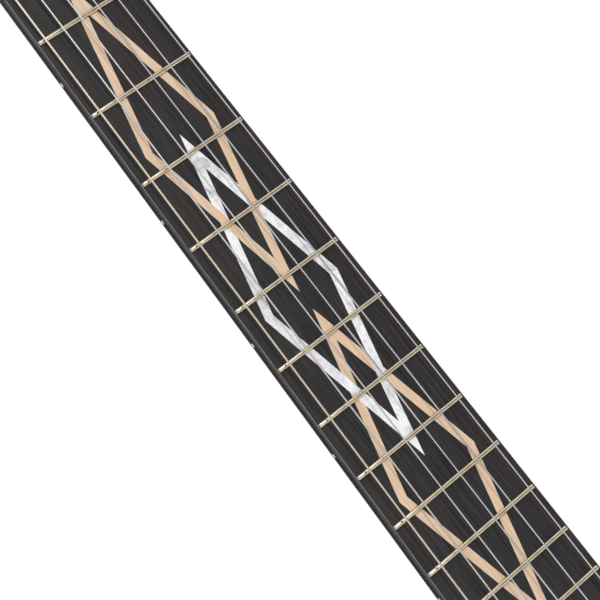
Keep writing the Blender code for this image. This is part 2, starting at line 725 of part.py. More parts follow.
def add_bowl_form(bm, inset, top):
    """The bowl's outer or inner form: D-shaped sections from the shoulder to the tail."""
    half, depth = BODY_WIDTH / 2 - inset, BOWL_DEPTH - inset
    rings = []
    for along, width in body_stations(inset):
        ring = []
        for stave in range(STAVES + 1):
            angle = math.pi * stave / STAVES
            ring.append(board(along, width * math.cos(angle),
                              RIM - width * depth / half * math.sin(angle)))
        if top > 0:
            lift = min(1.0, width / 0.02) * top
            ring = [board(along, width, RIM + lift)] + ring + [board(along, -width, RIM + lift)]
        rings.append(ring)
    add_loft(bm, rings)


def make_bowl():
    """The ribbed shell, open at its rim, with a mortise and a hole for the strap button."""
    bm = bmesh.new()
    add_bowl_form(bm, 0.0, 0.0)
    bowl = make_object("bowl", bm, material("walnut_staves", (0.12, 0.055, 0.03), 0.35),
                       smooth_angle=8)
    bm = bmesh.new()
    add_bowl_form(bm, SHELL_THICKNESS, 0.01)
    combine(bowl, cutter("bowl_hollow", bm))
    combine(bowl, mortise("bowl_mortise"))
    combine(bowl, shank_hole("bowl_shank_hole"))


def mortise(name):
    bm = bmesh.new()
    add_board_box(bm, (BODY_START - 0.01, BODY_START + TENON_LENGTH),
                  (-TENON_WIDTH / 2 - GAP, TENON_WIDTH / 2 + GAP),
                  (TENON_TOP - TENON_DEPTH - GAP, TENON_TOP + GAP))
    return cutter(name, bm)


def shank_hole(name):
    bm = bmesh.new()
    hole = closed_profile([(-0.06, BUTTON_SHANK_RADIUS + GAP), (0.02, BUTTON_SHANK_RADIUS + GAP)])
    add_turned(bm, hole, board(BODY_END, 0.0, BUTTON_HEIGHT), Vector((0, 0, -1)), Vector((1, 0, 0)))
    return cutter(name, bm)


def make_soundboard():
    """The top plate with its oval sound hole, and the strip bound round its edge."""
    up = Vector((0, -SOUNDBOARD_THICKNESS, 0))
    bm = bmesh.new()
    add_prism(bm, body_outline(BINDING_WIDTH + GAP, SOUNDBOARD_TOP - SOUNDBOARD_THICKNESS), up)
    soundboard = make_object("soundboard", bm, material("spruce_top", (0.62, 0.40, 0.19), 0.4))
    bm = bmesh.new()
    oval = [board(HOLE_ALONG + HOLE_HALF_ALONG * math.cos(2 * math.pi * step / HOLE_SIDES),
                  HOLE_HALF_ACROSS * math.sin(2 * math.pi * step / HOLE_SIDES),
                  SOUNDBOARD_TOP - 0.01) for step in range(HOLE_SIDES)]
    add_prism(bm, oval, Vector((0, -0.02, 0)))
    combine(soundboard, cutter("sound_hole", bm))

    bm = bmesh.new()
    add_prism(bm, body_outline(0.0, SOUNDBOARD_TOP - SOUNDBOARD_THICKNESS), up)
    binding = make_object("top_binding", bm, material("maple_binding", (0.78, 0.60, 0.36), 0.35))
    bm = bmesh.new()
    add_prism(bm, body_outline(BINDING_WIDTH, SOUNDBOARD_TOP - 0.01), Vector((0, -0.02, 0)))
    combine(binding, cutter("binding_inside", bm))


def make_brace(name, along, finish):
    """A bar across the soundboard's underside, thinned at its ends."""
    reach = body_half_width(along, SHELL_THICKNESS) - BRACE_TO_WALL
    top = RIM
    rings = []
    for share, depth in ((-1.0, BRACE_END_DEPTH), (-0.7, BRACE_DEPTH), (0.7, BRACE_DEPTH),
                         (1.0, BRACE_END_DEPTH)):
        corners = ((-BRACE_WIDTH / 2, top), (BRACE_WIDTH / 2, top),
                   (BRACE_WIDTH / 2, top - depth), (-BRACE_WIDTH / 2, top - depth))
        rings.append([board(along + offset, share * reach, height) for offset, height in corners])
    bm = bmesh.new()
    add_loft(bm, rings)
    make_object(name, bm, finish)


def make_blocks():
    """The neck block with its mortise, and the tail block that holds the strap button."""
    half = SHOULDER_HALF - SHELL_THICKNESS - 2 * GAP
    depth = half * (BOWL_DEPTH - SHELL_THICKNESS) / (BODY_WIDTH / 2 - SHELL_THICKNESS)
    start = BODY_START + SHELL_THICKNESS + GAP
    rings = []
    for along in (start, start + NECK_BLOCK_LENGTH):
        rings.append([board(along, half * math.cos(math.pi * step / STAVES),
                            RIM - GAP - depth * math.sin(math.pi * step / STAVES))
                      for step in range(STAVES + 1)])
    bm = bmesh.new()
    add_loft(bm, rings)
    block = make_object("neck_block", bm, material("cedar_block", (0.48, 0.31, 0.17), 0.6))
    combine(block, mortise("block_mortise"))

    bm = bmesh.new()
    end = BODY_END - TAIL_BLOCK_TO_END
    add_board_box(bm, (end - TAIL_BLOCK_LENGTH, end), (-TAIL_BLOCK_HALF, TAIL_BLOCK_HALF),
                  (RIM - TAIL_BLOCK_DEPTH, RIM - GAP))
    block = make_object("tail_block", bm, material("cedar_tail_block", (0.48, 0.31, 0.17), 0.6))
    combine(block, shank_hole("tail_block_hole"))


# ---------------------------------------------------------------- bridge and fittings

def make_bridge():
    """A low wooden bridge with a bone saddle let into it."""
    foot = SOUNDBOARD_TOP + GAP
    rings = []
    for share, height, base, crown in (
            (-1.0, BRIDGE_END_HEIGHT, 0.7, 0.6), (-0.62, BRIDGE_HEIGHT, 1.0, 1.0),
            (0.62, BRIDGE_HEIGHT, 1.0, 1.0), (1.0, BRIDGE_END_HEIGHT, 0.7, 0.6)):
        half_foot, half_top = base * BRIDGE_FOOT / 2, crown * BRIDGE_TOP / 2
        corners = ((-half_foot, foot), (half_foot, foot), (half_foot, foot + 0.0015),
                   (half_top, foot + height), (-half_top, foot + height),
                   (-half_foot, foot + 0.0015))
        rings.append([board(SCALE_LENGTH + offset, share * BRIDGE_HALF, level)
                      for offset, level in corners])
    bm = bmesh.new()
    add_loft(bm, rings)
    bridge = make_object("bridge", bm, material("ebony_bridge", (0.026, 0.022, 0.020), 0.45))

    saddle_half = abs(string_across(0, BRIDGE_SPACING)) + SADDLE_PAST_STRINGS
    floor = foot + BRIDGE_HEIGHT - SADDLE_SLOT_DEPTH
    bm = bmesh.new()
    half = SADDLE_THICKNESS / 2 + GAP
    add_board_box(bm, (SCALE_LENGTH - half, SCALE_LENGTH + half),
                  (-saddle_half - GAP, saddle_half + GAP), (floor - GAP, floor + 0.02))
    combine(bridge, cutter("saddle_slot", bm))

    bm = bmesh.new()
    half = SADDLE_THICKNESS / 2
    add_board_box(bm, (SCALE_LENGTH - half, SCALE_LENGTH + half), (-saddle_half, saddle_half),
                  (floor, HEIGHT_AT_BRIDGE - max(STRING_DIAMETERS) / 2 - GAP))
    make_object("saddle", bm, material("bone_saddle", (0.83, 0.79, 0.68), 0.4))


def make_pickguard():
    """A crescent on the soundboard, round the tail side of the sound hole."""
    steps = 16
    half_sweep = math.radians(PICKGUARD_SWEEP) / 2
    level = SOUNDBOARD_TOP + GAP
    outer, inner = [], []
    for step in range(steps + 1):
        angle = half_sweep * (2 * step / steps - 1)
        taper = math.cos(angle * 0.9) ** 0.5
        for arc, extra in ((outer, PICKGUARD_MARGIN + PICKGUARD_WIDTH * taper),
                           (inner, PICKGUARD_MARGIN)):
            arc.append(board(HOLE_ALONG + (HOLE_HALF_ALONG + extra) * math.cos(angle),
                             (HOLE_HALF_ACROSS + extra) * math.sin(angle), level))
    bm = bmesh.new()
    add_prism(bm, outer + inner[::-1], Vector((0, -PICKGUARD_THICKNESS, 0)))
    make_object("pickguard", bm, material("dark_pickguard", (0.03, 0.022, 0.02), 0.25))


def make_tailpiece():
    """A bent metal plate over the tail with a bar that holds the string ends, and its cover."""
    foot = SOUNDBOARD_TOP + GAP
    top = foot + TAILPIECE_THICKNESS
    front = ANCHOR_ALONG - 0.010
    inside = BODY_END + GAP
    outside = inside + TAILPIECE_THICKNESS
    profile = [(front, foot), (front, top), (outside - 0.001, top), (outside, top - 0.001),
               (outside, foot - TAILPIECE_DROP), (inside, foot - TAILPIECE_DROP), (inside, foot)]
    bm = bmesh.new()
    add_prism(bm, [board(along, -TAILPIECE_HALF, height) for along, height in profile],
              Vector((2 * TAILPIECE_HALF, 0, 0)))
    tailpiece = make_object("tailpiece", bm, material("tail_metal", (0.70, 0.68, 0.62), 0.25, 1.0))
    combine(tailpiece, shank_hole("tailpiece_hole"))
    bm = bmesh.new()
    bar_half = abs(string_across(0, TAIL_SPACING)) + ANCHOR_BAR_PAST_STRINGS
    add_board_box(bm, (ANCHOR_ALONG, ANCHOR_ALONG + ANCHOR_BAR_THICKNESS), (-bar_half, bar_half),
                  (foot + TAILPIECE_THICKNESS / 2, top + ANCHOR_BAR_HEIGHT))
    combine(tailpiece, cutter("anchor_bar", bm), "UNION")

    bm = bmesh.new()
    near, far = front + 0.003, BODY_END - 0.003
    add_board_box(bm, (near, far), (-COVER_HALF, COVER_HALF), (top + GAP, top + GAP + COVER_HEIGHT))
    cover = make_object("tail_cover", bm, material("cover_metal", (0.72, 0.70, 0.64), 0.2, 1.0))
    bm = bmesh.new()
    add_board_box(bm, (near - 0.01, far - COVER_WALL),
                  (-COVER_HALF + COVER_WALL, COVER_HALF - COVER_WALL),
                  (top - 0.01, top + GAP + COVER_HEIGHT - COVER_WALL))
    combine(cover, cutter("cover_inside", bm))


def make_strap_button():
    """A turned button screwed through the tailpiece and the bowl into the tail block."""
    seat = BODY_END + 2 * GAP + TAILPIECE_THICKNESS
    reach = seat - (BODY_END - TAIL_BLOCK_TO_END - TAIL_BLOCK_LENGTH) - 0.002
    profile = closed_profile([
        (-reach, BUTTON_SHANK_RADIUS), (0.0, BUTTON_SHANK_RADIUS), (0.0, 0.0062), (0.0018, 0.0062),
        (0.0035, BUTTON_NECK_RADIUS), (0.0085, BUTTON_NECK_RADIUS),
        (0.0108, BUTTON_FLANGE_RADIUS), (BUTTON_HEAD_LENGTH, BUTTON_FLANGE_RADIUS)])
    bm = bmesh.new()
    add_turned(bm, profile, board(seat, 0.0, BUTTON_HEIGHT), Vector((0, 0, -1)), Vector((1, 0, 0)))
    make_object("strap_button", bm, material("button_metal", (0.70, 0.68, 0.62), 0.25, 1.0),
                smooth_angle=40)


def main():
    for obj in list(bpy.data.objects):
        bpy.data.objects.remove(obj, do_unlink=True)
    make_neck()
    make_fretboard()
    for number in range(1, FRET_COUNT + 1):
        make_fret(number, material(f"fret_wire_{number:02d}", (0.62, 0.58, 0.50), 0.25, 1.0))
    make_nut()
    make_tuners()
    for index in range(STRING_COUNT):
        make_string(index, material(f"string_wire_{index + 1}", (0.55, 0.53, 0.50), 0.3, 1.0))
    make_bowl()
    make_soundboard()
    bracing = material("spruce_brace", (0.66, 0.50, 0.30), 0.6)
    make_brace("brace_upper", UPPER_BRACE_ALONG, bracing)
    make_brace("brace_lower", LOWER_BRACE_ALONG, bracing.copy())
    make_blocks()
    make_bridge()
    make_pickguard()
    make_tailpiece()
    make_strap_button()


main()
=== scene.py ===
import json
import logging
import math
from dataclasses import dataclass
from enum import Enum
from typing import Callable, Iterable, Sequence

import bmesh
import bpy
from mathutils import Matrix, Vector


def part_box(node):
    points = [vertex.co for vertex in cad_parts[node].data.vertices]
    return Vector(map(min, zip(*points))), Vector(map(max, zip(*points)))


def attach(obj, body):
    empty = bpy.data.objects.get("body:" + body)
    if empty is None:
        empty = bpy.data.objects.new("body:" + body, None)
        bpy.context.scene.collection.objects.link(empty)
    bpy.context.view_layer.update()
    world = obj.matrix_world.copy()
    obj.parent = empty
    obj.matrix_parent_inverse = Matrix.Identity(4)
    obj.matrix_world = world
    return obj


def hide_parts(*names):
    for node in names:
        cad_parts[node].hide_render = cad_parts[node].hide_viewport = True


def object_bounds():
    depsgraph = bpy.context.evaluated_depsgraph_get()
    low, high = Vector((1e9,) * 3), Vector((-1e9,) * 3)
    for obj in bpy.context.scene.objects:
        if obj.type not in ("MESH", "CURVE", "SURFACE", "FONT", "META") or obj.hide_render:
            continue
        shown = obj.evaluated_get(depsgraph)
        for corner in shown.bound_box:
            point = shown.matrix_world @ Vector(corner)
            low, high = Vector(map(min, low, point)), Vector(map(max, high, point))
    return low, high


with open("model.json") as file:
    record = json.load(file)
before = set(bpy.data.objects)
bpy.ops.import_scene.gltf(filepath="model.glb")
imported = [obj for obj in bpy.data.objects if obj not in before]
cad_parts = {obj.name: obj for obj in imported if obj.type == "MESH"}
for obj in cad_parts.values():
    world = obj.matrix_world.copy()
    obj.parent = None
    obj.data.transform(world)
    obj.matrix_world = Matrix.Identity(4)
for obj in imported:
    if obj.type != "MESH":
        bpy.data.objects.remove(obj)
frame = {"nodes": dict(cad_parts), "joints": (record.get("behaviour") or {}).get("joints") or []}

CAD_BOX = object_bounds()
LOG = logging.getLogger("bouzouki")
MM = 0.001
BODY = "instrument"
FRETS = sorted(name for name in frame["nodes"] if name.startswith("fret_"))
STRINGS = sorted(name for name in frame["nodes"] if name.startswith("string_") and "post" not in name)


class Slot(Enum):
    """The record's material slots."""

    NECK = "dark_neck"
    EBONY = "ebony"
    BONE = "bone"
    FRET = "fret_wire"
    WOUND = "wound_string"
    PLAIN = "plain_string"
    MACHINE = "machine_metal"
    POST = "post_metal"
    KNOB = "knob_button"
    WALNUT = "walnut"
    SPRUCE = "spruce"
    MAPLE = "maple"
    CEDAR = "cedar"
    PICKGUARD = "pickguard"
    FITTING = "fitting_metal"


# ---------------------------------------------------------------- places


def on_board(along: float, across: float, height: float) -> Vector:
    """A place given from the nut towards the tail, to the treble side, and off the fretboard.

    Args:
        along: Distance from the nut, in metres.
        across: Distance from the middle line towards the treble side.
        height: Distance in front of the fretboard's top.

    Returns:
        The point in the model's own frame.
    """
    return Vector((across, -height, -along))


def box_along(node: str) -> tuple[float, float]:
    """The nearest and farthest distance of a node from the nut."""
    low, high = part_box(node)
    return -high.z, -low.z


def box_height(node: str) -> tuple[float, float]:
    """The lowest and highest level of a node off the fretboard."""
    low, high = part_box(node)
    return -high.y, -low.y


@dataclass(frozen=True)
class HeadPlane:
    """The tilted face of the headstock, with its own directions."""

    origin: Vector
    up: Vector
    out: Vector

    def point(self, across: float, along: float, height: float) -> Vector:
        """A place given across the head, up from the nut, and off its face."""
        return self.origin + Vector((across, 0.0, 0.0)) + self.up * along + self.out * height

    def matrix(self, across: float, along: float, height: float) -> Matrix:
        """A frame at such a place, with +X across, +Y up the head and +Z out of its face."""
        place = self.point(across, along, height)
        columns = Matrix((Vector((1, 0, 0)), self.up, self.out)).transposed().to_4x4()
        return Matrix.Translation(place) @ columns


@dataclass(frozen=True)
class PostPlace:
    """Where one tuning machine sits: its number, its post's axis and its worm's axis."""

    number: int
    across: float
    along: float
    worm_rise: float
    worm_level: float

    @property
    def side(self) -> float:
        """-1 on the bass side and 1 on the treble side."""
        return math.copysign(1.0, self.across)


POST_FIRST = 46.0 * MM


def read_head(joints: list[dict]) -> tuple[HeadPlane, list[PostPlace]]:
    """Work out the head's plane and its machines from the joints.

    Args:
        joints: The frame's joints.

    Returns:
        The plane, and the machines in string order.
    """
    by_name = {joint["name"]: joint for joint in joints}
    first = by_name["post_turn_1"]
    out = Vector(first["axis"]).normalized()
    up = out.cross(Vector((1, 0, 0))).normalized()
    foot = Vector(first["pos_m"]) - up * POST_FIRST
    plane = HeadPlane(Vector((0.0, foot.y, foot.z)), up, out)
    places = []
    for number in range(1, len(STRINGS) + 1):
        post = Vector(by_name[f"post_turn_{number}"]["pos_m"])
        worm = Vector(by_name[f"knob_turn_{number}"]["pos_m"])
        along = (post - plane.origin).dot(up)
        places.append(PostPlace(number, post.x, along, (worm - post).dot(up), (worm - plane.origin).dot(out)))
    return plane, places


# ---------------------------------------------------------------- finishes


class Nodes:
    """Short ways to lay out the nodes of one finish."""

    def __init__(self, name: str) -> None:
        """Start a material with an empty Principled shader.

        Args:
            name: The material's name.
        """
        self.material = bpy.data.materials.new(name)
        self.material.use_nodes = True
        self.tree = self.material.node_tree
        self.shader = self.tree.nodes["Principled BSDF"]
        self.where = self.tree.nodes.new("ShaderNodeTexCoord").outputs["Object"]

    def link(self, source: bpy.types.NodeSocket, target: bpy.types.NodeSocket) -> None:
        """Join two sockets."""
        self.tree.links.new(source, target)

    def stretch(self, scale: Sequence[float], turn: Sequence[float] = (0, 0, 0)) -> bpy.types.NodeSocket:
        """Object coordinates, turned and then scaled, in pattern cells per metre."""
        mapping = self.tree.nodes.new("ShaderNodeMapping")
        mapping.inputs["Scale"].default_value = scale
        mapping.inputs["Rotation"].default_value = turn
        self.link(self.where, mapping.inputs["Vector"])
        return mapping.outputs["Vector"]

    def noise(self, vector: bpy.types.NodeSocket, detail: float = 3.0, distortion: float = 0.0,
              roughness: float = 0.5) -> bpy.types.NodeSocket:
        """A noise value from 0 to 1 at the given coordinates."""
        node = self.tree.nodes.new("ShaderNodeTexNoise")
        node.inputs["Scale"].default_value = 1.0
        node.inputs["Detail"].default_value = detail
        node.inputs["Distortion"].default_value = distortion
        node.inputs["Roughness"].default_value = roughness
        self.link(vector, node.inputs["Vector"])
        return node.outputs["Fac"]

    def cells(self, vector: bpy.types.NodeSocket) -> bpy.types.NodeSocket:
        """A random colour for each cell of a Voronoi pattern."""
        node = self.tree.nodes.new("ShaderNodeTexVoronoi")
        node.inputs["Scale"].default_value = 1.0
        self.link(vector, node.inputs["Vector"])
        return node.outputs["Color"]

    def ramp(self, value: bpy.types.NodeSocket, stops: Iterable[tuple[float, Sequence[float]]],
             ) -> bpy.types.NodeSocket:
        """Turn a value into a colour through stops of (place, colour)."""
        node = self.tree.nodes.new("ShaderNodeValToRGB")
        elements = node.color_ramp.elements
        for index, (place, color) in enumerate(stops):
            element = elements[index] if index < 2 else elements.new(place)
            element.position = place
            element.color = (*color, 1.0)
        self.link(value, node.inputs["Fac"])
        return node.outputs["Color"]

    def spread(self, value: bpy.types.NodeSocket, low: float, high: float) -> bpy.types.NodeSocket:
        """Map a value from 0..1 to low..high."""
        node = self.tree.nodes.new("ShaderNodeMapRange")
        node.inputs["To Min"].default_value = low
        node.inputs["To Max"].default_value = high
        self.link(value, node.inputs["Value"])
        return node.outputs["Result"]

    def mix(self, share: bpy.types.NodeSocket | float, first: bpy.types.NodeSocket | Sequence[float],
            second: bpy.types.NodeSocket | Sequence[float], blend: str = "MIX") -> bpy.types.NodeSocket:
        """Blend two colours by a share."""
        node = self.tree.nodes.new("ShaderNodeMix")
        node.data_type = "RGBA"
        node.blend_type = blend
        for socket, value in ((node.inputs["Factor"], share), (node.inputs[6], first),
                              (node.inputs[7], second)):
            if isinstance(value, bpy.types.NodeSocket):
                self.link(value, socket)
            elif isinstance(value, float):
                socket.default_value = value
            else:
                socket.default_value = (*value, 1.0)
        return node.outputs[2]

    def bump(self, height: bpy.types.NodeSocket, depth: float, strength: float = 1.0) -> None:
        """Raise the surface by a height value times a depth in metres."""
        node = self.tree.nodes.new("ShaderNodeBump")
        node.inputs["Strength"].default_value = strength
        node.inputs["Distance"].default_value = depth
        self.link(height, node.inputs["Height"])
        self.link(node.outputs["Normal"], self.shader.inputs["Normal"])

    def set(self, **values: float | bpy.types.NodeSocket | Sequence[float]) -> None:
        """Set or link the shader's sockets; an underscore in a name stands for a space."""
        for key, value in values.items():
            socket = self.shader.inputs[key.replace("_", " ")]
            if isinstance(value, bpy.types.NodeSocket):
                self.link(value, socket)
            elif isinstance(value, (int, float)):
                socket.default_value = value
            else:
                socket.default_value = (*value, 1.0)


@dataclass(frozen=True)
class Finish:
    """A named surface; its material is made once, when it is first asked for."""

    name: str

    def lay_out(self, nodes: Nodes) -> None:
        """Add this finish's nodes."""
        raise NotImplementedError

    def material(self) -> bpy.types.Material:
        """The finish's material, made once."""
        title = f"{self.name}_finish"
        known = bpy.data.materials.get(title)
        if known is None:
            nodes = Nodes(title)
            self.lay_out(nodes)
            known = nodes.material
        return known


@dataclass(frozen=True)
class Wood(Finish):
    """Wood with long fibres, broad streaks and pores.

    Attributes:
        light: Colour of the pale fibres.
        dark: Colour of the dark fibres.
        streak: Colour of the broad streaks.
        fibres: Fibres per metre across the grain.
        streaks: Streaks per metre across the grain.
        streak_share: How strong the streaks are.
        roughness: Lowest and highest roughness.
        pore_depth: Depth of the pores in metres.
        coat: Weight of a clear lacquer.
        turn: Turn of the grain, which runs along Z when it is zero.
        long_share: How much slower the pattern changes along the grain.
        shine: Strength of the surface's own reflection; 0.5 is plain.
    """

    light: tuple[float, float, float]
    dark: tuple[float, float, float]
    streak: tuple[float, float, float]
    fibres: float = 2600.0
    streaks: float = 180.0
    streak_share: float = 0.5
    roughness: tuple[float, float] = (0.35, 0.5)
    pore_depth: float = 0.02 * MM
    coat: float = 0.0
    turn: tuple[float, float, float] = (0.0, 0.0, 0.0)
    long_share: float = 0.03
    shine: float = 0.5

    def lay_out(self, nodes: Nodes) -> None:
        """Lay fine fibres over broad streaks, with pores as bump."""
        across, lengthwise = self.fibres, self.fibres * self.long_share
        fine = nodes.noise(nodes.stretch((across, across, lengthwise), self.turn), detail=4.0, distortion=0.4)
        wide_scale = (self.streaks, self.streaks, self.streaks * self.long_share * 2)
        wide = nodes.noise(nodes.stretch(wide_scale, self.turn), detail=3.0, distortion=0.8)
        fibre_color = nodes.ramp(fine, ((0.3, self.dark), (0.7, self.light)))
        streak_share = nodes.spread(nodes.ramp(wide, ((0.42, (0, 0, 0)), (0.72, (1, 1, 1)))), 0.0,
                                    self.streak_share)
        nodes.set(Base_Color=nodes.mix(streak_share, fibre_color, self.streak),
                  Roughness=nodes.spread(fine, *self.roughness), Coat_Weight=self.coat,
                  Coat_Roughness=0.16, Specular_IOR_Level=self.shine)
        pores = nodes.noise(nodes.stretch((across * 0.6, across * 0.6, lengthwise * 0.5), self.turn),
                            detail=2.0)
        nodes.bump(nodes.ramp(pores, ((0.25, (0, 0, 0)), (0.45, (1, 1, 1)))), self.pore_depth)


@dataclass(frozen=True)
class Spruce(Finish):
    """Quarter-sawn spruce: narrow dark winter lines between pale summer wood."""

    line_spacing: float = 1.3 * MM

    def lay_out(self, nodes: Nodes) -> None:
        """Lay the year lines along Z with a little silk across them."""
        per_metre = 1.0 / self.line_spacing
        lines = nodes.noise(nodes.stretch((per_metre, 0.0, 1.6)), detail=1.5, distortion=0.1)
        year = nodes.ramp(lines, ((0.34, (0.74, 0.50, 0.26)), (0.52, (0.68, 0.44, 0.21)),
                                  (0.66, (0.50, 0.28, 0.11))))
        silk = nodes.noise(nodes.stretch((70.0, 70.0, 900.0)), detail=3.0)
        tone = nodes.noise(nodes.stretch((9.0, 9.0, 3.0)), detail=2.0)
        silky = nodes.mix(nodes.spread(silk, 0.0, 0.22), year, (0.80, 0.58, 0.32))
        nodes.set(Base_Color=nodes.mix(nodes.spread(tone, 0.0, 0.5), silky, (0.60, 0.36, 0.15)),
                  Roughness=nodes.spread(silk, 0.32, 0.42), Coat_Weight=0.6, Coat_Roughness=0.12)
        nodes.bump(lines, 0.012 * MM)


@dataclass(frozen=True)
class Pearl(Finish):
    """White shell with grey clouds, fine ripples and a faint play of colour."""

    cloud: float = 95.0
    ripple: float = 420.0

    def lay_out(self, nodes: Nodes) -> None:
        """Mix patches of tone, rippled figure and pale tints under a polished top."""
        patches = nodes.noise(nodes.stretch((self.cloud * 0.35,) * 3), detail=1.0)
        clouds = nodes.noise(nodes.stretch((self.cloud,) * 3), detail=5.0, distortion=1.6, roughness=0.62)
        ripples = nodes.noise(nodes.stretch((self.ripple, self.ripple, self.ripple * 0.45)), detail=3.0,
                              distortion=2.4)
        tone = nodes.ramp(clouds, ((0.30, (0.52, 0.52, 0.54)), (0.42, (0.86, 0.86, 0.88)),
                                   (0.52, (1.0, 1.0, 1.0))))
        figure = nodes.ramp(ripples, ((0.30, (0.66, 0.67, 0.70)), (0.48, (1.0, 1.0, 1.0))))
        shell = nodes.mix(0.55, tone, figure, "MULTIPLY")
        patch = nodes.ramp(patches, ((0.38, (0.80, 0.81, 0.84)), (0.50, (1.0, 1.0, 1.0))))
        shaded = nodes.mix(0.7, shell, patch, "MULTIPLY")
        tint = nodes.ramp(nodes.noise(nodes.stretch((self.cloud * 1.3,) * 3), detail=2.0, distortion=3.0),
                          ((0.36, (0.93, 1.0, 0.96)), (0.5, (1.0, 1.0, 1.0)), (0.62, (1.0, 0.95, 0.96))))
        nodes.set(Base_Color=nodes.mix(0.8, shaded, tint, "MULTIPLY"),
                  Roughness=nodes.spread(ripples, 0.16, 0.30), Specular_IOR_Level=0.6,
                  Coat_Weight=0.4, Coat_Roughness=0.06)
        nodes.bump(clouds, 0.01 * MM)


@dataclass(frozen=True)
class Metal(Finish):
    """Polished or brushed metal with fine scratches and a few dull places.

    Attributes:
        color: The metal's colour.
        shade: Colour of its dull places.
        roughness: Lowest and highest roughness.
        scratches: Scratches per metre along X, Y and Z.
        scratch_depth: Their depth in metres.
        metallic: 1 for bare metal.
    """

    color: tuple[float, float, float]
    shade: tuple[float, float, float]
    roughness: tuple[float, float]
    scratches: tuple[float, float, float] = (300.0, 4000.0, 4000.0)
    scratch_depth: float = 0.002 * MM
    metallic: float = 1.0

    def lay_out(self, nodes: Nodes) -> None:
        """Lay scratches over slow changes of tone."""
        scratch = nodes.noise(nodes.stretch(self.scratches), detail=3.0)
        dull = nodes.noise(nodes.stretch((160.0,) * 3), detail=4.0)
        share = nodes.ramp(dull, ((0.40, (0, 0, 0)), (0.75, (1, 1, 1))))
        nodes.set(Base_Color=nodes.mix(share, self.color, self.shade), Metallic=self.metallic,
                  Roughness=nodes.spread(nodes.mix(0.5, scratch, share), *self.roughness))
        nodes.bump(scratch, self.scratch_depth)


@dataclass(frozen=True)
class Bone(Finish):
    """Polished bone or horn-like plastic: cloudy cream with short fibres."""

    color: tuple[float, float, float] = (0.80, 0.74, 0.58)
    cloud: tuple[float, float, float] = (0.70, 0.61, 0.43)
    roughness: tuple[float, float] = (0.22, 0.34)
    cells: float = 260.0

    def lay_out(self, nodes: Nodes) -> None:
        """Lay soft clouds and short fibres under a thin shine."""
        clouds = nodes.noise(nodes.stretch((self.cells,) * 3), detail=4.0, distortion=1.0)
        fibres = nodes.noise(nodes.stretch((self.cells * 0.8, self.cells * 9, self.cells * 9)), detail=2.0)
        share = nodes.ramp(clouds, ((0.35, (0, 0, 0)), (0.7, (1, 1, 1))))
        nodes.set(Base_Color=nodes.mix(share, self.color, self.cloud),
                  Roughness=nodes.spread(fibres, *self.roughness), Subsurface_Weight=0.08,
                  Subsurface_Scale=1.0 * MM, Coat_Weight=0.3, Coat_Roughness=0.1)
        nodes.bump(fibres, 0.003 * MM)


@dataclass(frozen=True)
class PlainGround(Finish):
    """The pale floor under the instrument."""

    def lay_out(self, nodes: Nodes) -> None:
        """A pale matt surface with a faint mottle."""
        mottle = nodes.noise(nodes.stretch((6.0,) * 3), detail=2.0)
        nodes.set(Base_Color=nodes.ramp(mottle, ((0.3, (0.80, 0.80, 0.80)), (0.7, (0.84, 0.84, 0.84)))),
                  Roughness=0.8)


EBONY = Wood("ebony", light=(0.042, 0.042, 0.045), dark=(0.014, 0.014, 0.015), streak=(0.052, 0.034, 0.027),
             fibres=1500.0, streaks=150.0, streak_share=0.55, roughness=(0.40, 0.60), pore_depth=0.03 * MM,
             shine=0.16)
# A paler, shinier copy of ebony, used as a painted highlight on the fretboard's bass-side eased edges.
EBONY_PAINTED_HIGHLIGHT = Wood("ebony_painted_highlight", light=(0.21, 0.21, 0.215), dark=(0.10, 0.10, 0.105),
                      streak=(0.15, 0.14, 0.13), fibres=2400.0, roughness=(0.16, 0.3), pore_depth=0.004 * MM)
BLACK_NECK = Wood("black_neck", light=(0.034, 0.032, 0.032), dark=(0.014, 0.013, 0.013),
                  streak=(0.045, 0.036, 0.033), fibres=1500.0, streaks=260.0, streak_share=0.7,
                  roughness=(0.38, 0.54), pore_depth=0.02 * MM, shine=0.3)
MAPLE = Wood("maple", light=(0.86, 0.665, 0.49), dark=(0.62, 0.435, 0.29), streak=(0.80, 0.54, 0.34),
             fibres=1700.0, streaks=420.0, streak_share=0.6, roughness=(0.38, 0.5), pore_depth=0.004 * MM)
WALNUT = Wood("walnut", light=(0.155, 0.066, 0.032), dark=(0.050, 0.021, 0.012), streak=(0.030, 0.013, 0.009),
              fibres=1300.0, streaks=120.0, streak_share=0.75, roughness=(0.25, 0.4), pore_depth=0.02 * MM,
              coat=0.8, long_share=0.02)
WALNUT_PALE = Wood("walnut_pale", light=(0.21, 0.094, 0.045), dark=(0.085, 0.036, 0.018),
                   streak=(0.045, 0.019, 0.012), fibres=1300.0, streaks=90.0, streak_share=0.7,
                   roughness=(0.25, 0.4), pore_depth=0.02 * MM, coat=0.8, long_share=0.02)
CEDAR = Wood("cedar", light=(0.46, 0.26, 0.13), dark=(0.33, 0.17, 0.08), streak=(0.25, 0.12, 0.06),
             fibres=1200.0, streaks=110.0, roughness=(0.6, 0.75))
SPRUCE = Spruce("spruce_top")
PEARL = Pearl("pearl")
BONE = Bone("bone")
CREAM = Bone("cream_button", color=(0.84, 0.79, 0.66), cloud=(0.66, 0.60, 0.47), roughness=(0.12, 0.2),
             cells=520.0)
FRET_WIRE = Metal("nickel_silver", color=(0.70, 0.61, 0.47), shade=(0.58, 0.49, 0.36),
                  roughness=(0.12, 0.26), scratches=(400.0, 5000.0, 5000.0))
BRONZE_WIRE = Metal("bass_winding", color=(0.90, 0.80, 0.66), shade=(0.80, 0.70, 0.55),
                    roughness=(0.34, 0.46), scratches=(3000.0, 3000.0, 3000.0))
SILVER_WIRE = Metal("silver_winding", color=(0.92, 0.90, 0.86), shade=(0.78, 0.76, 0.72),
                    roughness=(0.32, 0.44), scratches=(3000.0, 3000.0, 3000.0))
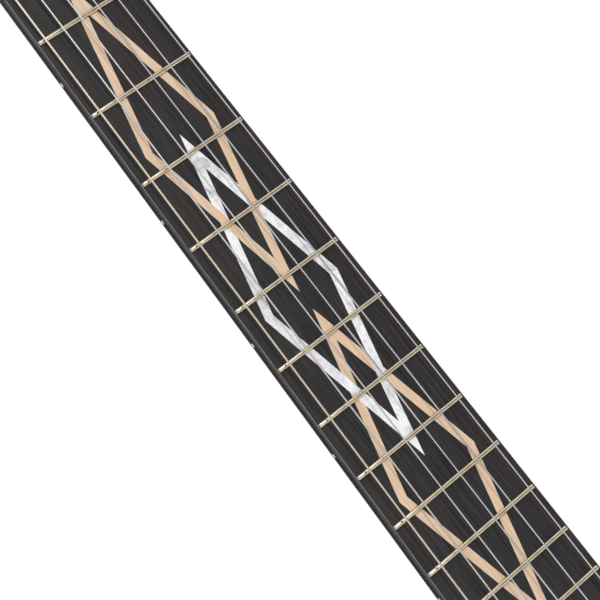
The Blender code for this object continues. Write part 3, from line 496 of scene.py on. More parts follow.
PLAIN_WIRE = Metal("plain_wire", color=(0.88, 0.88, 0.89), shade=(0.76, 0.76, 0.77),
                   roughness=(0.12, 0.22), scratches=(5000.0, 5000.0, 120.0))
BRASS = Metal("satin_brass", color=(0.71, 0.52, 0.24), shade=(0.55, 0.38, 0.17), roughness=(0.22, 0.38),
              scratches=(2600.0, 2600.0, 90.0), scratch_depth=0.004 * MM)
NICKEL = Metal("polished_nickel", color=(0.75, 0.72, 0.66), shade=(0.62, 0.59, 0.54),
               roughness=(0.08, 0.2), scratches=(900.0, 900.0, 900.0))
STEEL = Metal("plain_steel", color=(0.50, 0.50, 0.51), shade=(0.36, 0.35, 0.35), roughness=(0.3, 0.5))
DARK_PLATE = Wood("dark_plate", light=(0.040, 0.024, 0.018), dark=(0.018, 0.011, 0.009),
                  streak=(0.075, 0.040, 0.024), fibres=900.0, streaks=160.0, streak_share=0.8,
                  roughness=(0.2, 0.3), pore_depth=0.002 * MM, coat=0.5)
GROUND = PlainGround("pale_ground")


# ---------------------------------------------------------------- mesh tools


def add_ring(bm: bmesh.types.BMesh, points: Iterable[Vector]) -> list[bmesh.types.BMEdge]:
    """A closed ring of edges through points."""
    verts = [bm.verts.new(point) for point in points]
    return [bm.edges.new(pair) for pair in zip(verts, verts[1:] + verts[:1])]


def fill(bm: bmesh.types.BMesh, edges: list[bmesh.types.BMEdge]) -> bmesh.types.BMFace:
    """One face over a ring of edges."""
    return bmesh.ops.contextual_create(bm, geom=edges)["faces"][0]


def loft(bm: bmesh.types.BMesh, rings: Sequence[Sequence[Vector]], loop: bool = False) -> None:
    """Bridge rings in turn into a skin.

    Args:
        bm: The mesh to add to.
        rings: Rings with the same number of points.
        loop: Join the last ring to the first; otherwise both ends are filled.
    """
    edges = [add_ring(bm, ring) for ring in rings]
    pairs = list(zip(edges, edges[1:]))
    if loop:
        pairs.append((edges[-1], edges[0]))
    for near, far in pairs:
        bmesh.ops.bridge_loops(bm, edges=near + far)
    if not loop:
        fill(bm, edges[0])
        fill(bm, edges[-1])


def prism(bm: bmesh.types.BMesh, outline: Sequence[Vector], shift: Vector) -> list[bmesh.types.BMFace]:
    """An outline filled and extruded by a vector.

    Args:
        bm: The mesh to add to.
        outline: The outline's points in order.
        shift: How far the far end lies from the outline.

    Returns:
        The faces at the far end.
    """
    face = fill(bm, add_ring(bm, outline))
    moved = bmesh.ops.extrude_face_region(bm, geom=[face], use_keep_orig=True)["geom"]
    bmesh.ops.translate(bm, vec=shift, verts=[v for v in moved if isinstance(v, bmesh.types.BMVert)])
    return [f for f in moved if isinstance(f, bmesh.types.BMFace)]


def band(bm: bmesh.types.BMesh, outer: Sequence[Vector], inner: Sequence[Vector], shift: Vector) -> None:
    """A flat band between two rings, extruded by a vector."""
    outer_edges, inner_edges = add_ring(bm, outer), add_ring(bm, inner)
    faces = bmesh.ops.bridge_loops(bm, edges=outer_edges + inner_edges)["faces"]
    moved = bmesh.ops.extrude_face_region(bm, geom=faces, use_keep_orig=True)["geom"]
    bmesh.ops.translate(bm, vec=shift, verts=[v for v in moved if isinstance(v, bmesh.types.BMVert)])


def turned(bm: bmesh.types.BMesh, profile: Sequence[tuple[float, float]], origin: Vector, axis: Vector,
           side: Vector, steps: int = 32) -> None:
    """Spin a profile round an axis into a closed solid.

    Args:
        bm: The mesh to add to.
        profile: Pairs of distance along the axis and radius; the ends are brought to the axis.
        origin: Where the distances start.
        axis: The axis, a unit vector.
        side: A unit vector across the axis.
        steps: Faces round the axis.
    """
    closed = [(profile[0][0], 0.0), *profile, (profile[-1][0], 0.0)]
    verts = [bm.verts.new(origin + axis * place + side * radius) for place, radius in closed]
    edges = [bm.edges.new(pair) for pair in zip(verts, verts[1:])]
    bmesh.ops.spin(bm, geom=verts + edges, cent=origin, axis=axis, angle=2 * math.pi, steps=steps,
                   use_merge=True)
    bmesh.ops.remove_doubles(bm, verts=bm.verts, dist=1e-7)


def box(bm: bmesh.types.BMesh, low: Vector, high: Vector) -> None:
    """A box between two corners."""
    size = Matrix.Diagonal((*(high - low), 1.0))
    bmesh.ops.create_cube(bm, size=1.0, matrix=Matrix.Translation((low + high) / 2) @ size)


def soften(bm: bmesh.types.BMesh, width: float, segments: int = 2, sharper_than: float = 35.0,
           keep: Callable[[bmesh.types.BMEdge], bool] | None = None) -> None:
    """Round the sharp edges.

    Args:
        bm: The mesh to change.
        width: The bevel's width in metres.
        segments: Steps across the bevel.
        sharper_than: Edges turning less than this many degrees stay.
        keep: An extra test that an edge must pass.
    """
    bmesh.ops.recalc_face_normals(bm, faces=bm.faces)
    limit = math.radians(sharper_than)
    edges = [edge for edge in bm.edges if len(edge.link_faces) == 2
             and edge.calc_face_angle(0.0) > limit and (keep is None or keep(edge))]
    bmesh.ops.bevel(bm, geom=edges, offset=width, offset_type="OFFSET", segments=segments, profile=0.5,
                    affect="EDGES", material=-1, clamp_overlap=True)


def oval_points(centre_along: float, half_along: float, half_across: float, height: float,
                steps: int = 72) -> list[Vector]:
    """Points round an oval that lies flat on the soundboard."""
    turns = [2 * math.pi * step / steps for step in range(steps)]
    return [on_board(centre_along + half_along * math.cos(turn), half_across * math.sin(turn), height)
            for turn in turns]


def carve(piece: bpy.types.Object, tool: bmesh.types.BMesh, operation: str = "DIFFERENCE") -> None:
    """Cut a tool out of a piece, or join it on, and keep the result as the piece's mesh.

    Args:
        piece: The object to change.
        tool: The tool's mesh; it is used up.
        operation: DIFFERENCE or UNION.
    """
    bmesh.ops.recalc_face_normals(tool, faces=tool.faces)
    mesh = bpy.data.meshes.new("tool")
    tool.to_mesh(mesh)
    tool.free()
    cutter = bpy.data.objects.new("tool", mesh)
    bpy.context.collection.objects.link(cutter)
    step = piece.modifiers.new("carve", "BOOLEAN")
    step.object, step.operation, step.solver = cutter, operation, "EXACT"
    bpy.context.view_layer.update()
    result = bpy.data.meshes.new_from_object(piece.evaluated_get(bpy.context.evaluated_depsgraph_get()))
    piece.modifiers.clear()
    piece.data = result
    bpy.data.objects.remove(cutter)


def make_piece(name: str, bm: bmesh.types.BMesh, finish: Finish, body: str = BODY,
               smooth: float | None = 35.0, stands_for: Sequence[str] = ()) -> bpy.types.Object:
    """Turn a mesh into a finished piece that rides on a body.

    Args:
        name: The piece's name.
        bm: Its mesh, in the model's frame; it is used up.
        finish: Its finish.
        body: The CAD body that it rides on.
        smooth: Edges that turn less than this many degrees are shaded smooth, or None for flat.
        stands_for: CAD nodes that it replaces.

    Returns:
        The new object.
    """
    bmesh.ops.remove_doubles(bm, verts=bm.verts, dist=1e-7)
    bmesh.ops.recalc_face_normals(bm, faces=bm.faces)
    mesh = bpy.data.meshes.new(name)
    bm.to_mesh(mesh)
    bm.free()
    piece = bpy.data.objects.new(name, mesh)
    bpy.context.collection.objects.link(piece)
    mesh.materials.append(finish.material())
    shade(piece, smooth)
    register(piece, body, stands_for)
    return piece


def shade(piece: bpy.types.Object, smooth: float | None) -> None:
    """Shade a piece smooth, with sharp edges where it turns by more than an angle."""
    if smooth is not None:
        piece.data.shade_smooth()
        piece.data.set_sharp_from_angle(angle=math.radians(smooth))


def register(piece: bpy.types.Object, body: str = BODY, stands_for: Sequence[str] = ()) -> None:
    """Tell the frame what a piece rides on and stands for."""
    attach(piece, body)
    if stands_for:
        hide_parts(*stands_for)
    LOG.info("%s rides on %s", piece.name, body)


def dress_node(name: str, finish: Finish) -> None:
    """Give a CAD node that stays its finish."""
    node = frame["nodes"][name]
    node.data.materials.clear()
    node.data.materials.append(finish.material())


# ---------------------------------------------------------------- fretboard


@dataclass(frozen=True)
class Diamond:
    """The outline of one inlaid diamond, in millimetres."""

    name: str
    finish: Finish
    slot: Slot
    first_tip: float
    last_tip: float
    half_width: float
    strip: float
    rise: float


@dataclass
class Fretboard:
    """The ebony board, its inlay, side dots, frets and nut."""

    chamfer: float = 0.75 * MM
    rolled_edge: float = 1.5 * MM
    inlay_depth: float = 0.8 * MM
    dot_radius: float = 0.9 * MM
    dot_drop: float = 3.4 * MM
    dot_frets: tuple[int, ...] = (3, 5, 7, 9, 12, 15, 17, 19, 21)
    fret_width: float = 2.1 * MM
    fret_height: float = 1.15 * MM
    nut_slot: float = 1.1 * MM
    diamonds: tuple[Diamond, ...] = (
        Diamond("inlay_maple_lower", MAPLE, Slot.MAPLE, 205.6, 353.2, 18.7, 3.45, 0.010),
        Diamond("inlay_pearl", PEARL, Slot.MAPLE, 126.1, 272.1, 17.35, 3.55, 0.020),
        Diamond("inlay_maple_upper", MAPLE, Slot.MAPLE, 54.9, 198.0, 16.0, 3.3, 0.030),
    )

    def __post_init__(self) -> None:
        """Read the board's size from the CAD."""
        low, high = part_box("fretboard")
        nut_low, nut_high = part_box("nut")
        self.length = -low.z
        self.thickness = high.y - low.y
        self.nut_half = nut_high.x
        self.end_half = high.x

    def half_width(self, along: float) -> float:
        """Half the board's width at a distance from the nut."""
        return self.nut_half + (self.end_half - self.nut_half) * along / self.length

    def build(self) -> None:
        """Build all of it."""
        self.build_board()
        for diamond in self.diamonds:
            self.build_diamond(diamond)
        for number in self.dot_frets:
            self.build_dot(number)
        for node in FRETS:
            self.build_fret(node)
        self.build_nut()

    def build_board(self) -> None:
        """The tapered board with its top edges eased; its bass-side edges carry a painted highlight in paler
        ebony.
        """
        corners = ((0.0, -1), (0.0, 1), (self.length, 1), (self.length, -1))
        outline = [on_board(along, side * self.half_width(along), -self.thickness) for along, side in corners]
        bm = bmesh.new()
        prism(bm, outline, Vector((0, -self.thickness, 0)))
        soften(bm, self.rolled_edge, 4,
               keep=lambda edge: all(v.co.y > self.thickness - 1e-6 for v in edge.verts)
               and abs(edge.verts[0].co.z - edge.verts[1].co.z) > self.rolled_edge)
        soften(bm, self.chamfer, 3, 60.0, keep=lambda edge: all(abs(v.co.y) < 1e-6 for v in edge.verts)
               and abs(edge.verts[0].co.z - edge.verts[1].co.z) > self.rolled_edge)
        board = make_piece("ebony_fretboard", bm, EBONY, smooth=20, stands_for=["fretboard"])
        # Eased-edge faces on the bass side only get the paler ebony: a painted highlight of the light line
        # along that edge.
        board.data.materials.append(EBONY_PAINTED_HIGHLIGHT.material())
        for face in board.data.polygons:
            lean = math.degrees(math.asin(min(1.0, max(0.0, -face.normal.y))))
            if face.normal.x < 0.0 and (5.0 < lean < 35.0 or 55.0 < lean < 85.0):
                face.material_index = 1

    def build_diamond(self, diamond: Diamond) -> None:
        """A strip bent into a diamond, let into the board."""
        first, last = diamond.first_tip * MM, diamond.last_tip * MM
        middle, half = (first + last) / 2, diamond.half_width * MM
        level = diamond.rise * MM
        bm = bmesh.new()
        face = fill(bm, add_ring(bm, (on_board(first, 0, level), on_board(middle, half, level),
                                      on_board(last, 0, level), on_board(middle, -half, level))))
        bmesh.ops.inset_region(bm, faces=[face], thickness=diamond.strip * MM, use_even_offset=True,
                               use_boundary=True)
        bmesh.ops.delete(bm, geom=[face], context="FACES_ONLY")
        strips = list(bm.faces)
        moved = bmesh.ops.extrude_face_region(bm, geom=strips, use_keep_orig=True)["geom"]
        bmesh.ops.translate(bm, vec=(0, self.inlay_depth, 0),
                            verts=[v for v in moved if isinstance(v, bmesh.types.BMVert)])
        make_piece(diamond.name, bm, diamond.finish, smooth=None)

    def fret_place(self, number: int) -> float:
        """A fret's distance from the nut."""
        near, far = box_along(f"fret_{number:02d}")
        return (near + far) / 2

    def build_dot(self, number: int) -> None:
        """A small pearl dot in the bass side of the board, between two frets."""
        along = (self.fret_place(number) + self.fret_place(number - 1)) / 2
        outward = Vector((-1, 0, 0))
        place = on_board(along, -self.half_width(along), -self.dot_drop)
        bm = bmesh.new()
        turned(bm, [(-0.6 * MM, self.dot_radius), (0.03 * MM, self.dot_radius)], place, outward,
               Vector((0, 0, 1)), 24)
        make_piece(f"side_dot_{number:02d}", bm, PEARL)

    def build_fret(self, node: str) -> None:
        """A crowned wire whose ends are rounded like half balls."""
        low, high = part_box(node)
        radius, middle = self.fret_width / 2, -(low.z + high.z) / 2
        reach = high.x - radius
        bm = bmesh.new()
        bmesh.ops.create_uvsphere(bm, u_segments=28, v_segments=15, radius=1.0,
                                  matrix=Matrix.Rotation(math.pi / 2, 4, "Y"))
        bmesh.ops.scale(bm, vec=(radius, self.fret_height, radius), verts=bm.verts)
        for side in (-1, 1):
            bmesh.ops.translate(bm, vec=(side * reach, 0, 0),
                                verts=[v for v in bm.verts if v.co.x * side > 0])
        cut = bmesh.ops.bisect_plane(bm, geom=bm.verts[:] + bm.edges[:] + bm.faces[:], plane_co=(0, 0, 0),
                                     plane_no=(0, 1, 0), clear_outer=True)["geom_cut"]
        bmesh.ops.holes_fill(bm, edges=[e for e in cut if isinstance(e, bmesh.types.BMEdge)])
        bmesh.ops.translate(bm, vec=on_board(middle, 0, 0), verts=bm.verts)
        make_piece(f"{node}_wire", bm, FRET_WIRE, smooth=60, stands_for=[node])

    def build_nut(self) -> None:
        """A bone nut with a narrow slot for each string and an eased top."""
        low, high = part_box("nut")
        top, floor = -low.y, HEIGHTS.at_nut - 0.35 * MM
        outline = comb_outline(self.nut_half, -high.y, top, floor, self.nut_slot, HEIGHTS.nut_spacing)
        bm = bmesh.new()
        prism(bm, [on_board(-low.z, across, height) for across, height in outline],
              Vector((0, 0, high.z - low.z)))
        soften(bm, 0.18 * MM, 2)
        make_piece("bone_nut", bm, BONE, stands_for=["nut"])


def comb_outline(half: float, bottom: float, top: float, floor: float, slot: float, spacing: float,
                 ) -> list[tuple[float, float]]:
    """The outline of a bar with a slot for each string, as (across, height) points."""
    points = [(-half, bottom), (-half, top)]
    for index in range(len(STRINGS)):
        middle = (index - (len(STRINGS) - 1) / 2) * spacing
        points += [(middle - slot / 2, top), (middle - slot / 2, floor),
                   (middle + slot / 2, floor), (middle + slot / 2, top)]
    return points + [(half, top), (half, bottom)]


# ---------------------------------------------------------------- strings


@dataclass(frozen=True)
class StringHeights:
    """Where the strings run, as in the CAD."""

    at_nut: float = 2.2 * MM
    at_bridge: float = 8.2 * MM
    at_tail: float = -0.8 * MM
    nut_spacing: float = 7.7 * MM
    bridge_spacing: float = 10.5 * MM
    tail_spacing: float = 8.0 * MM


HEIGHTS = StringHeights()


@dataclass(frozen=True)
class Wire:
    """One string's gauge and winding, in metres; a pitch of 0 is a plain wire."""

    diameter: float
    finish: Finish
    slot: Slot
    pitch: float = 0.0


@dataclass
class StringSet:
    """The six strings, from the tail over the saddle and the nut to the posts."""

    head: HeadPlane
    places: list[PostPlace]
    wires: tuple[Wire, ...] = (
        Wire(0.95 * MM, BRONZE_WIRE, Slot.WOUND, 0.34 * MM),
        Wire(0.75 * MM, SILVER_WIRE, Slot.WOUND, 0.30 * MM),
        Wire(0.65 * MM, SILVER_WIRE, Slot.WOUND, 0.26 * MM),
        Wire(0.70 * MM, PLAIN_WIRE, Slot.PLAIN),
        Wire(0.70 * MM, PLAIN_WIRE, Slot.PLAIN),
        Wire(0.70 * MM, PLAIN_WIRE, Slot.PLAIN),
    )
    turns: float = 2.25
    steps_per_turn: int = 28
    winding_pitch: float = 1.2 * MM
    winding_top: float = 4.6 * MM
    waist_radius: float = 2.6 * MM
    clearance: float = 0.36 * MM
    valley: float = 0.90

    def build(self) -> None:
        """Build each string."""
        for index, node in enumerate(STRINGS):
            self.build_string(index, node)

    def across(self, index: int, spacing: float) -> float:
        """A string's place across the board."""
        return (index - (len(STRINGS) - 1) / 2) * spacing

    def winding(self, index: int, start: Vector) -> list[Vector]:
        """The turns round the post, from the place where the string first touches it."""
        place = self.places[index]
        circle = self.waist_radius + self.clearance + self.wires[index].diameter / 2
        local = start - self.head.origin
        reach_across = (place.across - local.x) * place.side
        reach_along = place.along - local.dot(self.head.up)
        distance = math.hypot(reach_across, reach_along)
        touch = math.atan2(reach_along, reach_across) + math.pi - math.acos(circle / distance)
        points = []
        for step in range(int(self.turns * self.steps_per_turn) + 1):
            angle = touch - 2 * math.pi * step / self.steps_per_turn
            level = self.winding_top - self.winding_pitch * step / self.steps_per_turn
            points.append(self.head.point(place.across + place.side * circle * math.cos(angle),
                                          place.along + circle * math.sin(angle), level))
        return points

    def route(self, index: int) -> list[Vector]:
        """The string's whole route."""
        anchor = on_board(box_along(STRINGS[index])[1] + 1.2 * MM, self.across(index, HEIGHTS.tail_spacing),
                          HEIGHTS.at_tail)
        saddle_near, saddle_far = box_along("saddle")
        saddle = on_board((saddle_near + saddle_far) / 2, self.across(index, HEIGHTS.bridge_spacing),
                          HEIGHTS.at_bridge)
        front = on_board(0.0, self.across(index, HEIGHTS.nut_spacing), HEIGHTS.at_nut)
        nut_low, nut_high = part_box("nut")
        behind = on_board(-nut_high.z - 0.3 * MM, self.across(index, HEIGHTS.nut_spacing), HEIGHTS.at_nut)
        return [anchor, saddle, front, behind, *self.winding(index, behind)]

    def build_string(self, index: int, node: str) -> None:
        """A round wire along the route; a wound one swells and narrows at each turn of its winding."""
        wire = self.wires[index]
        points = self.route(index)
        shares = [1.0] * len(points)
        if wire.pitch:
            points, shares = self.bead(points, wire.pitch / 2)
        curve = bpy.data.curves.new(f"{node}_wire", "CURVE")
        curve.dimensions = "3D"
        curve.bevel_depth = wire.diameter / 2
        curve.bevel_resolution = 2 if wire.pitch else 4
        curve.use_fill_caps = True
        spline = curve.splines.new("POLY")
        spline.points.add(len(points) - 1)
        spline.points.foreach_set("co", [value for point in points for value in (*point, 1.0)])
        spline.points.foreach_set("radius", shares)
        spline.use_smooth = True
        curve.materials.append(wire.finish.material())
        piece = bpy.data.objects.new(f"{node}_wire", curve)
        bpy.context.collection.objects.link(piece)
        register(piece, stands_for=[node])

    def bead(self, points: list[Vector], step: float) -> tuple[list[Vector], list[float]]:
        """Points at even steps along a route, with radii that swell and narrow in turn."""
        beads: list[Vector] = []
        carried = 0.0
        for near, far in zip(points, points[1:]):
            length = (far - near).length
            travelled = carried
            while travelled < length:
                beads.append(near.lerp(far, travelled / length))
                travelled += step
            carried = travelled - length
        shares = [1.0 if number % 2 else self.valley for number in range(len(beads))]
        return beads, shares


# ---------------------------------------------------------------- neck and headstock


@dataclass
class Neck:
    """Neck, heel, headstock, veneer and its inlay."""

    board: Fretboard
    head: HeadPlane
    places: list[PostPlace]
    sides: int = 28
    depth_at_nut: float = 15.5 * MM
    depth_at_heel: float = 19.0 * MM
    heel_length: float = 48.0 * MM
    heel_depth: float = 34.8 * MM
    tuck: float = 1.6 * MM
    tuck_length: float = 50.0 * MM
    squareness: float = 0.95
    body_start: float = 378.0 * MM
    gap: float = 0.3 * MM
    head_length: float = 152.0 * MM
    head_thickness: float = 13.0 * MM
    veneer: float = 2.0 * MM
    wide_half: float = 37.0 * MM
    narrow_half: float = 32.0 * MM
    flare_length: float = 34.0 * MM
    crest: float = 12.0 * MM
    volute_rings: tuple[tuple[float, float, float, float], ...] = (
        (2.0, 4.0, 0.76, 0.0), (4.0, 4.5, 0.64, 0.0), (6.0, 4.3, 0.52, 0.0), (8.0, 3.8, 0.42, 0.0),
        (10.0, 3.2, 0.33, 0.0), (12.0, 2.5, 0.26, 0.0), (16.0, 1.3, 0.2, 0.5), (20.0, 0.2, 0.2, 0.8),
        (26.0, -3.0, 0.2, 1.0))
    slab_start: float = 11.0 * MM
    post_hole: float = 3.3 * MM

    def build(self) -> None:
        """Build all of it."""
        self.build_neck()
        self.build_veneer()
        self.build_head_inlay()
        dress_node("truss_rod", STEEL)

    def neck_depth(self, along: float) -> float:
        """How far the neck reaches below the fretboard."""
        plain = self.depth_at_nut + (self.depth_at_heel - self.depth_at_nut) * along / self.body_start
        share = max(0.0, (along - self.body_start + self.heel_length) / self.heel_length)
        return plain + (self.heel_depth - plain) * (1 - math.cos(math.pi / 2 * share))

    def section(self, half: float, depth: float, place: Callable[[float, float], Vector],
                power: float | None = None) -> list[Vector]:
        """A D-shaped section of the neck.

        Args:
            half: Half its width.
            depth: Its depth.
            place: Turns (across, depth) into a point.
            power: How square it is; 1 is an ellipse and 0 a box.

        Returns:
            Its points from the treble side round to the bass side.
        """
        power = self.squareness if power is None else power
        ring = []
        for step in range(self.sides + 1):
            angle = math.pi * step / self.sides
            across = math.copysign(abs(math.cos(angle)) ** power, math.cos(angle)) * half
            ring.append(place(across, depth * max(0.0, math.sin(angle)) ** power))
        return ring

    def half_width(self, along: float) -> float:
        """Half the headstock's width, with an S-shaped flare above the nut."""
        flare = (1 - math.cos(math.pi * min(1.0, along / self.flare_length))) / 2
        straight = max(0.0, (along - self.flare_length) / (self.head_length - self.flare_length))
        wide = self.wide_half + (self.narrow_half - self.wide_half) * straight
        return self.board.nut_half + (wide - self.board.nut_half) * flare

    def outline(self, start: float, inset: float = 0.0) -> list[tuple[float, float]]:
        """The headstock's outline as (across, along) points, drawn in by inset."""
        shoulder = self.head_length - self.crest - inset * 0.6
        flare_steps, crest_steps = 18, 22
        side = []
        for step in range(flare_steps + 1):
            along = start + (self.flare_length - start) * step / flare_steps
            side.append((self.half_width(along) - inset, along))
        side.append((self.half_width(shoulder) - inset, shoulder - inset * 0.4))
        crest_half = self.half_width(shoulder) * 0.80 - inset * 0.5
        for step in range(crest_steps + 1):
            across = crest_half * (1 - step / crest_steps)
            rise = (1 + math.cos(math.pi * across / crest_half)) / 2
            side.append((across, shoulder - inset * 0.4 + self.crest * (0.15 + 0.85 * rise)))
        return side + [(-across, along) for across, along in reversed(side[:-1])]

    def post_holes(self) -> bmesh.types.BMesh:
        """A tool with a round bar through each post's place."""
        bm = bmesh.new()
        for place in self.places:
            turned(bm, [(-30 * MM, self.post_hole), (10 * MM, self.post_hole)],
                   self.head.point(place.across, place.along, 0.0), self.head.out, Vector((1, 0, 0)), 32)
        return bm

    def build_neck(self) -> None:
        """The shaft swept from the heel to the volute, joined to the headstock."""
        last = self.body_start - self.gap
        top = -self.board.thickness - self.gap
        heel_steps = 12
        stations = [last - self.heel_length * step / heel_steps for step in range(heel_steps + 1)]
        stations += [0.24, 0.12, self.tuck_length, 0.0, -5.0 * MM]
        rings = []
        for along in stations:
            span = max(0.0, along)
            tuck = self.tuck * min(1.0, span / self.tuck_length)
            rings.append(self.section(self.board.half_width(span) - tuck, self.neck_depth(span),
                                      lambda across, depth, along=along:
                                      on_board(along, across, top - depth)))
        for along, extra, power, sink in self.volute_rings:
            face = -self.veneer - self.gap - sink * MM
            rings.append(self.section(self.half_width(along * MM) - sink * MM,
                                      self.head_thickness + extra * MM,
                                      lambda across, depth, along=along, face=face:
                                      self.head.point(across, along * MM, face - depth), power))
        bm = bmesh.new()
        loft(bm, rings)
        neck = make_piece("black_neck", bm, BLACK_NECK, smooth=40, stands_for=["neck"])
        slab = bmesh.new()
        back = -self.veneer - self.gap - self.head_thickness
        prism(slab, [self.head.point(across, along, back) for across, along in self.outline(self.slab_start)],
              self.head.out * self.head_thickness)
        soften(slab, 0.8 * MM, 3, 50.0, keep=lambda edge: all(
            (v.co - self.head.point(0, 0, back)).dot(self.head.out) < 1e-5 for v in edge.verts))
        carve(neck, slab, "UNION")
        carve(neck, self.post_holes())
        shade(neck, 32)

    def build_veneer(self) -> None:
        """The ebony veneer on the headstock's face."""
        bm = bmesh.new()
        prism(bm, [self.head.point(across, along, -self.veneer) for across, along in self.outline(0.0)],
              self.head.out * self.veneer)
        soften(bm, 0.35 * MM, 2, 50.0, keep=lambda edge: all(
            (v.co - self.head.origin).dot(self.head.out) > -1e-5 for v in edge.verts))
        veneer = make_piece("ebony_veneer", bm, EBONY, smooth=32, stands_for=["headstock_veneer"])
        carve(veneer, self.post_holes())
        shade(veneer, 32)

    def build_head_inlay(self) -> None:
        """Two interlaced diamonds up the middle of the headstock, as on the fretboard."""
        for name, finish, first, last, half, rise in (
                ("head_inlay_pearl", PEARL, 72.0, 122.0, 9.0, 0.03),
                ("head_inlay_maple", MAPLE, 50.0, 100.0, 9.0, 0.05)):
            middle = (first + last) / 2
            bm = bmesh.new()
            corners = ((0.0, first), (half, middle), (0.0, last), (-half, middle))
            face = fill(bm, add_ring(bm, [self.head.point(x * MM, y * MM, rise * MM) for x, y in corners]))
            bmesh.ops.inset_region(bm, faces=[face], thickness=1.9 * MM, use_even_offset=True,
                                   use_boundary=True)
            bmesh.ops.delete(bm, geom=[face], context="FACES_ONLY")
            moved = bmesh.ops.extrude_face_region(bm, geom=list(bm.faces), use_keep_orig=True)["geom"]
            bmesh.ops.translate(bm, vec=self.head.out * (-0.6 * MM),
                                verts=[v for v in moved if isinstance(v, bmesh.types.BMVert)])
            make_piece(name, bm, finish, smooth=None)


# ---------------------------------------------------------------- tuning machines


@dataclass
class TuningMachines:
    """Both plates and, for each string, a post with its gear and a knob with its worm."""

    head: HeadPlane
    places: list[PostPlace]
    plate_thickness: float = 1.2 * MM
    plate_width: float = 13.0 * MM
    plate_margin: float = 14.0 * MM
    head_back: float = -15.3 * MM
    gap: float = 0.3 * MM
    lug_thickness: float = 1.4 * MM
    lug_width: float = 5.6 * MM
    worm_length: float = 7.2 * MM
    worm_root: float = 1.45 * MM
    worm_radius: float = 2.45 * MM
    thread_turns: float = 2.5
    thread_pitch: float = 2.0 * MM
    teeth: int = 14
    gear_thickness: float = 2.4 * MM
    gear_tip: float = 4.806 * MM
    gear_root: float = 3.806 * MM
    post_radius: float = 3.0 * MM
    waist_radius: float = 2.6 * MM
    post_top: float = 12.0 * MM
    button_offset: float = 16.5 * MM
    button_size: tuple[float, float, float] = (14.0 * MM, 16.4 * MM, 7.4 * MM)

    def build(self) -> None:
        """Build all of it."""
        for name, side in (("tuner_plate_bass", -1.0), ("tuner_plate_treble", 1.0)):
            self.build_plate(name, side)
        for place in self.places:
            self.build_post(place)
            self.build_ferrule(place)
            self.build_knob(place)

    @property
    def plate_face(self) -> float:
        """The level of the plate's back face, off the head's face."""
        return self.head_back - self.gap - self.plate_thickness

    def build_plate(self, name: str, side: float) -> None:
        """A strip with round ends, six bearing lugs and four screws."""
        mine = sorted((p for p in self.places if p.side == side), key=lambda p: p.along)
        slope = (mine[-1].across - mine[0].across) / (mine[-1].along - mine[0].along)
        low = mine[0].along - self.plate_margin
        high = mine[-1].along + self.plate_margin + mine[0].worm_rise
        half = self.plate_width / 2

        def middle_at(along: float) -> float:
            """The strip's middle line."""
            return mine[0].across + (along - mine[0].along) * slope

        outline = []
        for centre, start in ((high - half * 0.6, 0.0), (low + half * 0.6, math.pi)):
            for step in range(13):
                angle = start + math.pi * step / 12
                along = centre + half * 0.6 * math.sin(angle)
                outline.append(self.head.point(middle_at(along) + half * math.cos(angle), along,
                                               self.plate_face))
        bm = bmesh.new()
        prism(bm, outline, self.head.out * self.plate_thickness)
        soften(bm, 0.25 * MM, 2, 50.0)
        plate = make_piece(f"{name}_strip", bm, BRASS, stands_for=[name])
        holes = bmesh.new()
        for place in mine:
            for direction in (-1, 1):
                self.build_lug(name, place, direction)
            turned(holes, [(-30 * MM, 3.25 * MM), (0.0, 3.25 * MM)],
                   self.head.point(place.across, place.along, 0.0), self.head.out, Vector((1, 0, 0)), 32)
        carve(plate, holes)
        shade(plate, 35)
        screw_places = [low + 4.0 * MM, mine[0].along + 20.0 * MM, mine[1].along + 20.0 * MM, high - 4.0 * MM]
        for number, along in enumerate(screw_places):
            self.build_screw(f"{name}_screw_{number + 1}",
                             self.head.point(middle_at(along), along, self.plate_face),
                             -self.head.out, 2.2 * MM, BODY)

    def build_lug(self, name: str, place: PostPlace, direction: int) -> None:
        """A bearing lug with a round back and a hole for the worm's shaft."""
        inner = place.across + direction * (self.worm_length / 2 + self.gap)
        along = place.along + place.worm_rise
        half = self.lug_width / 2
        outline = [(half, self.plate_face + 0.2 * MM), (half, place.worm_level)]
        outline += [(half * math.cos(math.pi * step / 12),
                     place.worm_level - half * math.sin(math.pi * step / 12))
                    for step in range(1, 12)]
        outline += [(-half, place.worm_level), (-half, self.plate_face + 0.2 * MM)]
        bm = bmesh.new()
        prism(bm, [self.head.point(inner, along + y, z) for y, z in outline],
              Vector((direction * self.lug_thickness, 0, 0)))
        soften(bm, 0.2 * MM, 2, 50.0)
        end = "inner" if direction * place.side < 0 else "outer"
        lug = make_piece(f"{name}_lug_{place.number}_{end}", bm, BRASS)
        hole = bmesh.new()
        turned(hole, [(-10 * MM, 1.6 * MM), (10 * MM, 1.6 * MM)],
               self.head.point(place.across, along, place.worm_level), Vector((1, 0, 0)), self.head.up, 24)
        carve(lug, hole)
        shade(lug, 35)

    def build_screw(self, name: str, seat: Vector, out: Vector, radius: float, body: str) -> None:
        """A domed screw head with a straight slot."""
        profile = [(-0.6 * MM, radius * 0.5), (0.0, radius * 0.5), (0.0, radius), (0.25 * MM, radius)]
        profile += [(0.25 * MM + 0.75 * MM * math.sin(a), radius * math.cos(a))
                    for a in (0.35, 0.7, 1.05, 1.35)]
        bm = bmesh.new()
        turned(bm, profile, seat, out, Vector((1, 0, 0)), 24)
        screw = make_piece(name, bm, NICKEL, body)
        across = out.cross(Vector((1, 0, 0))).normalized()
        frame_turn = Matrix((Vector((1, 0, 0)), across, out)).transposed().to_4x4()
        slot_size = Matrix.Diagonal((radius * 3, radius * 0.28, 0.9 * MM, 1.0))
        slot = bmesh.new()
        bmesh.ops.create_cube(slot, size=1.0, matrix=Matrix.Translation(seat + out * 1.0 * MM)
                              @ frame_turn @ Matrix.Rotation(0.6, 4, "Z") @ slot_size)
        carve(screw, slot)
        shade(screw, 35)

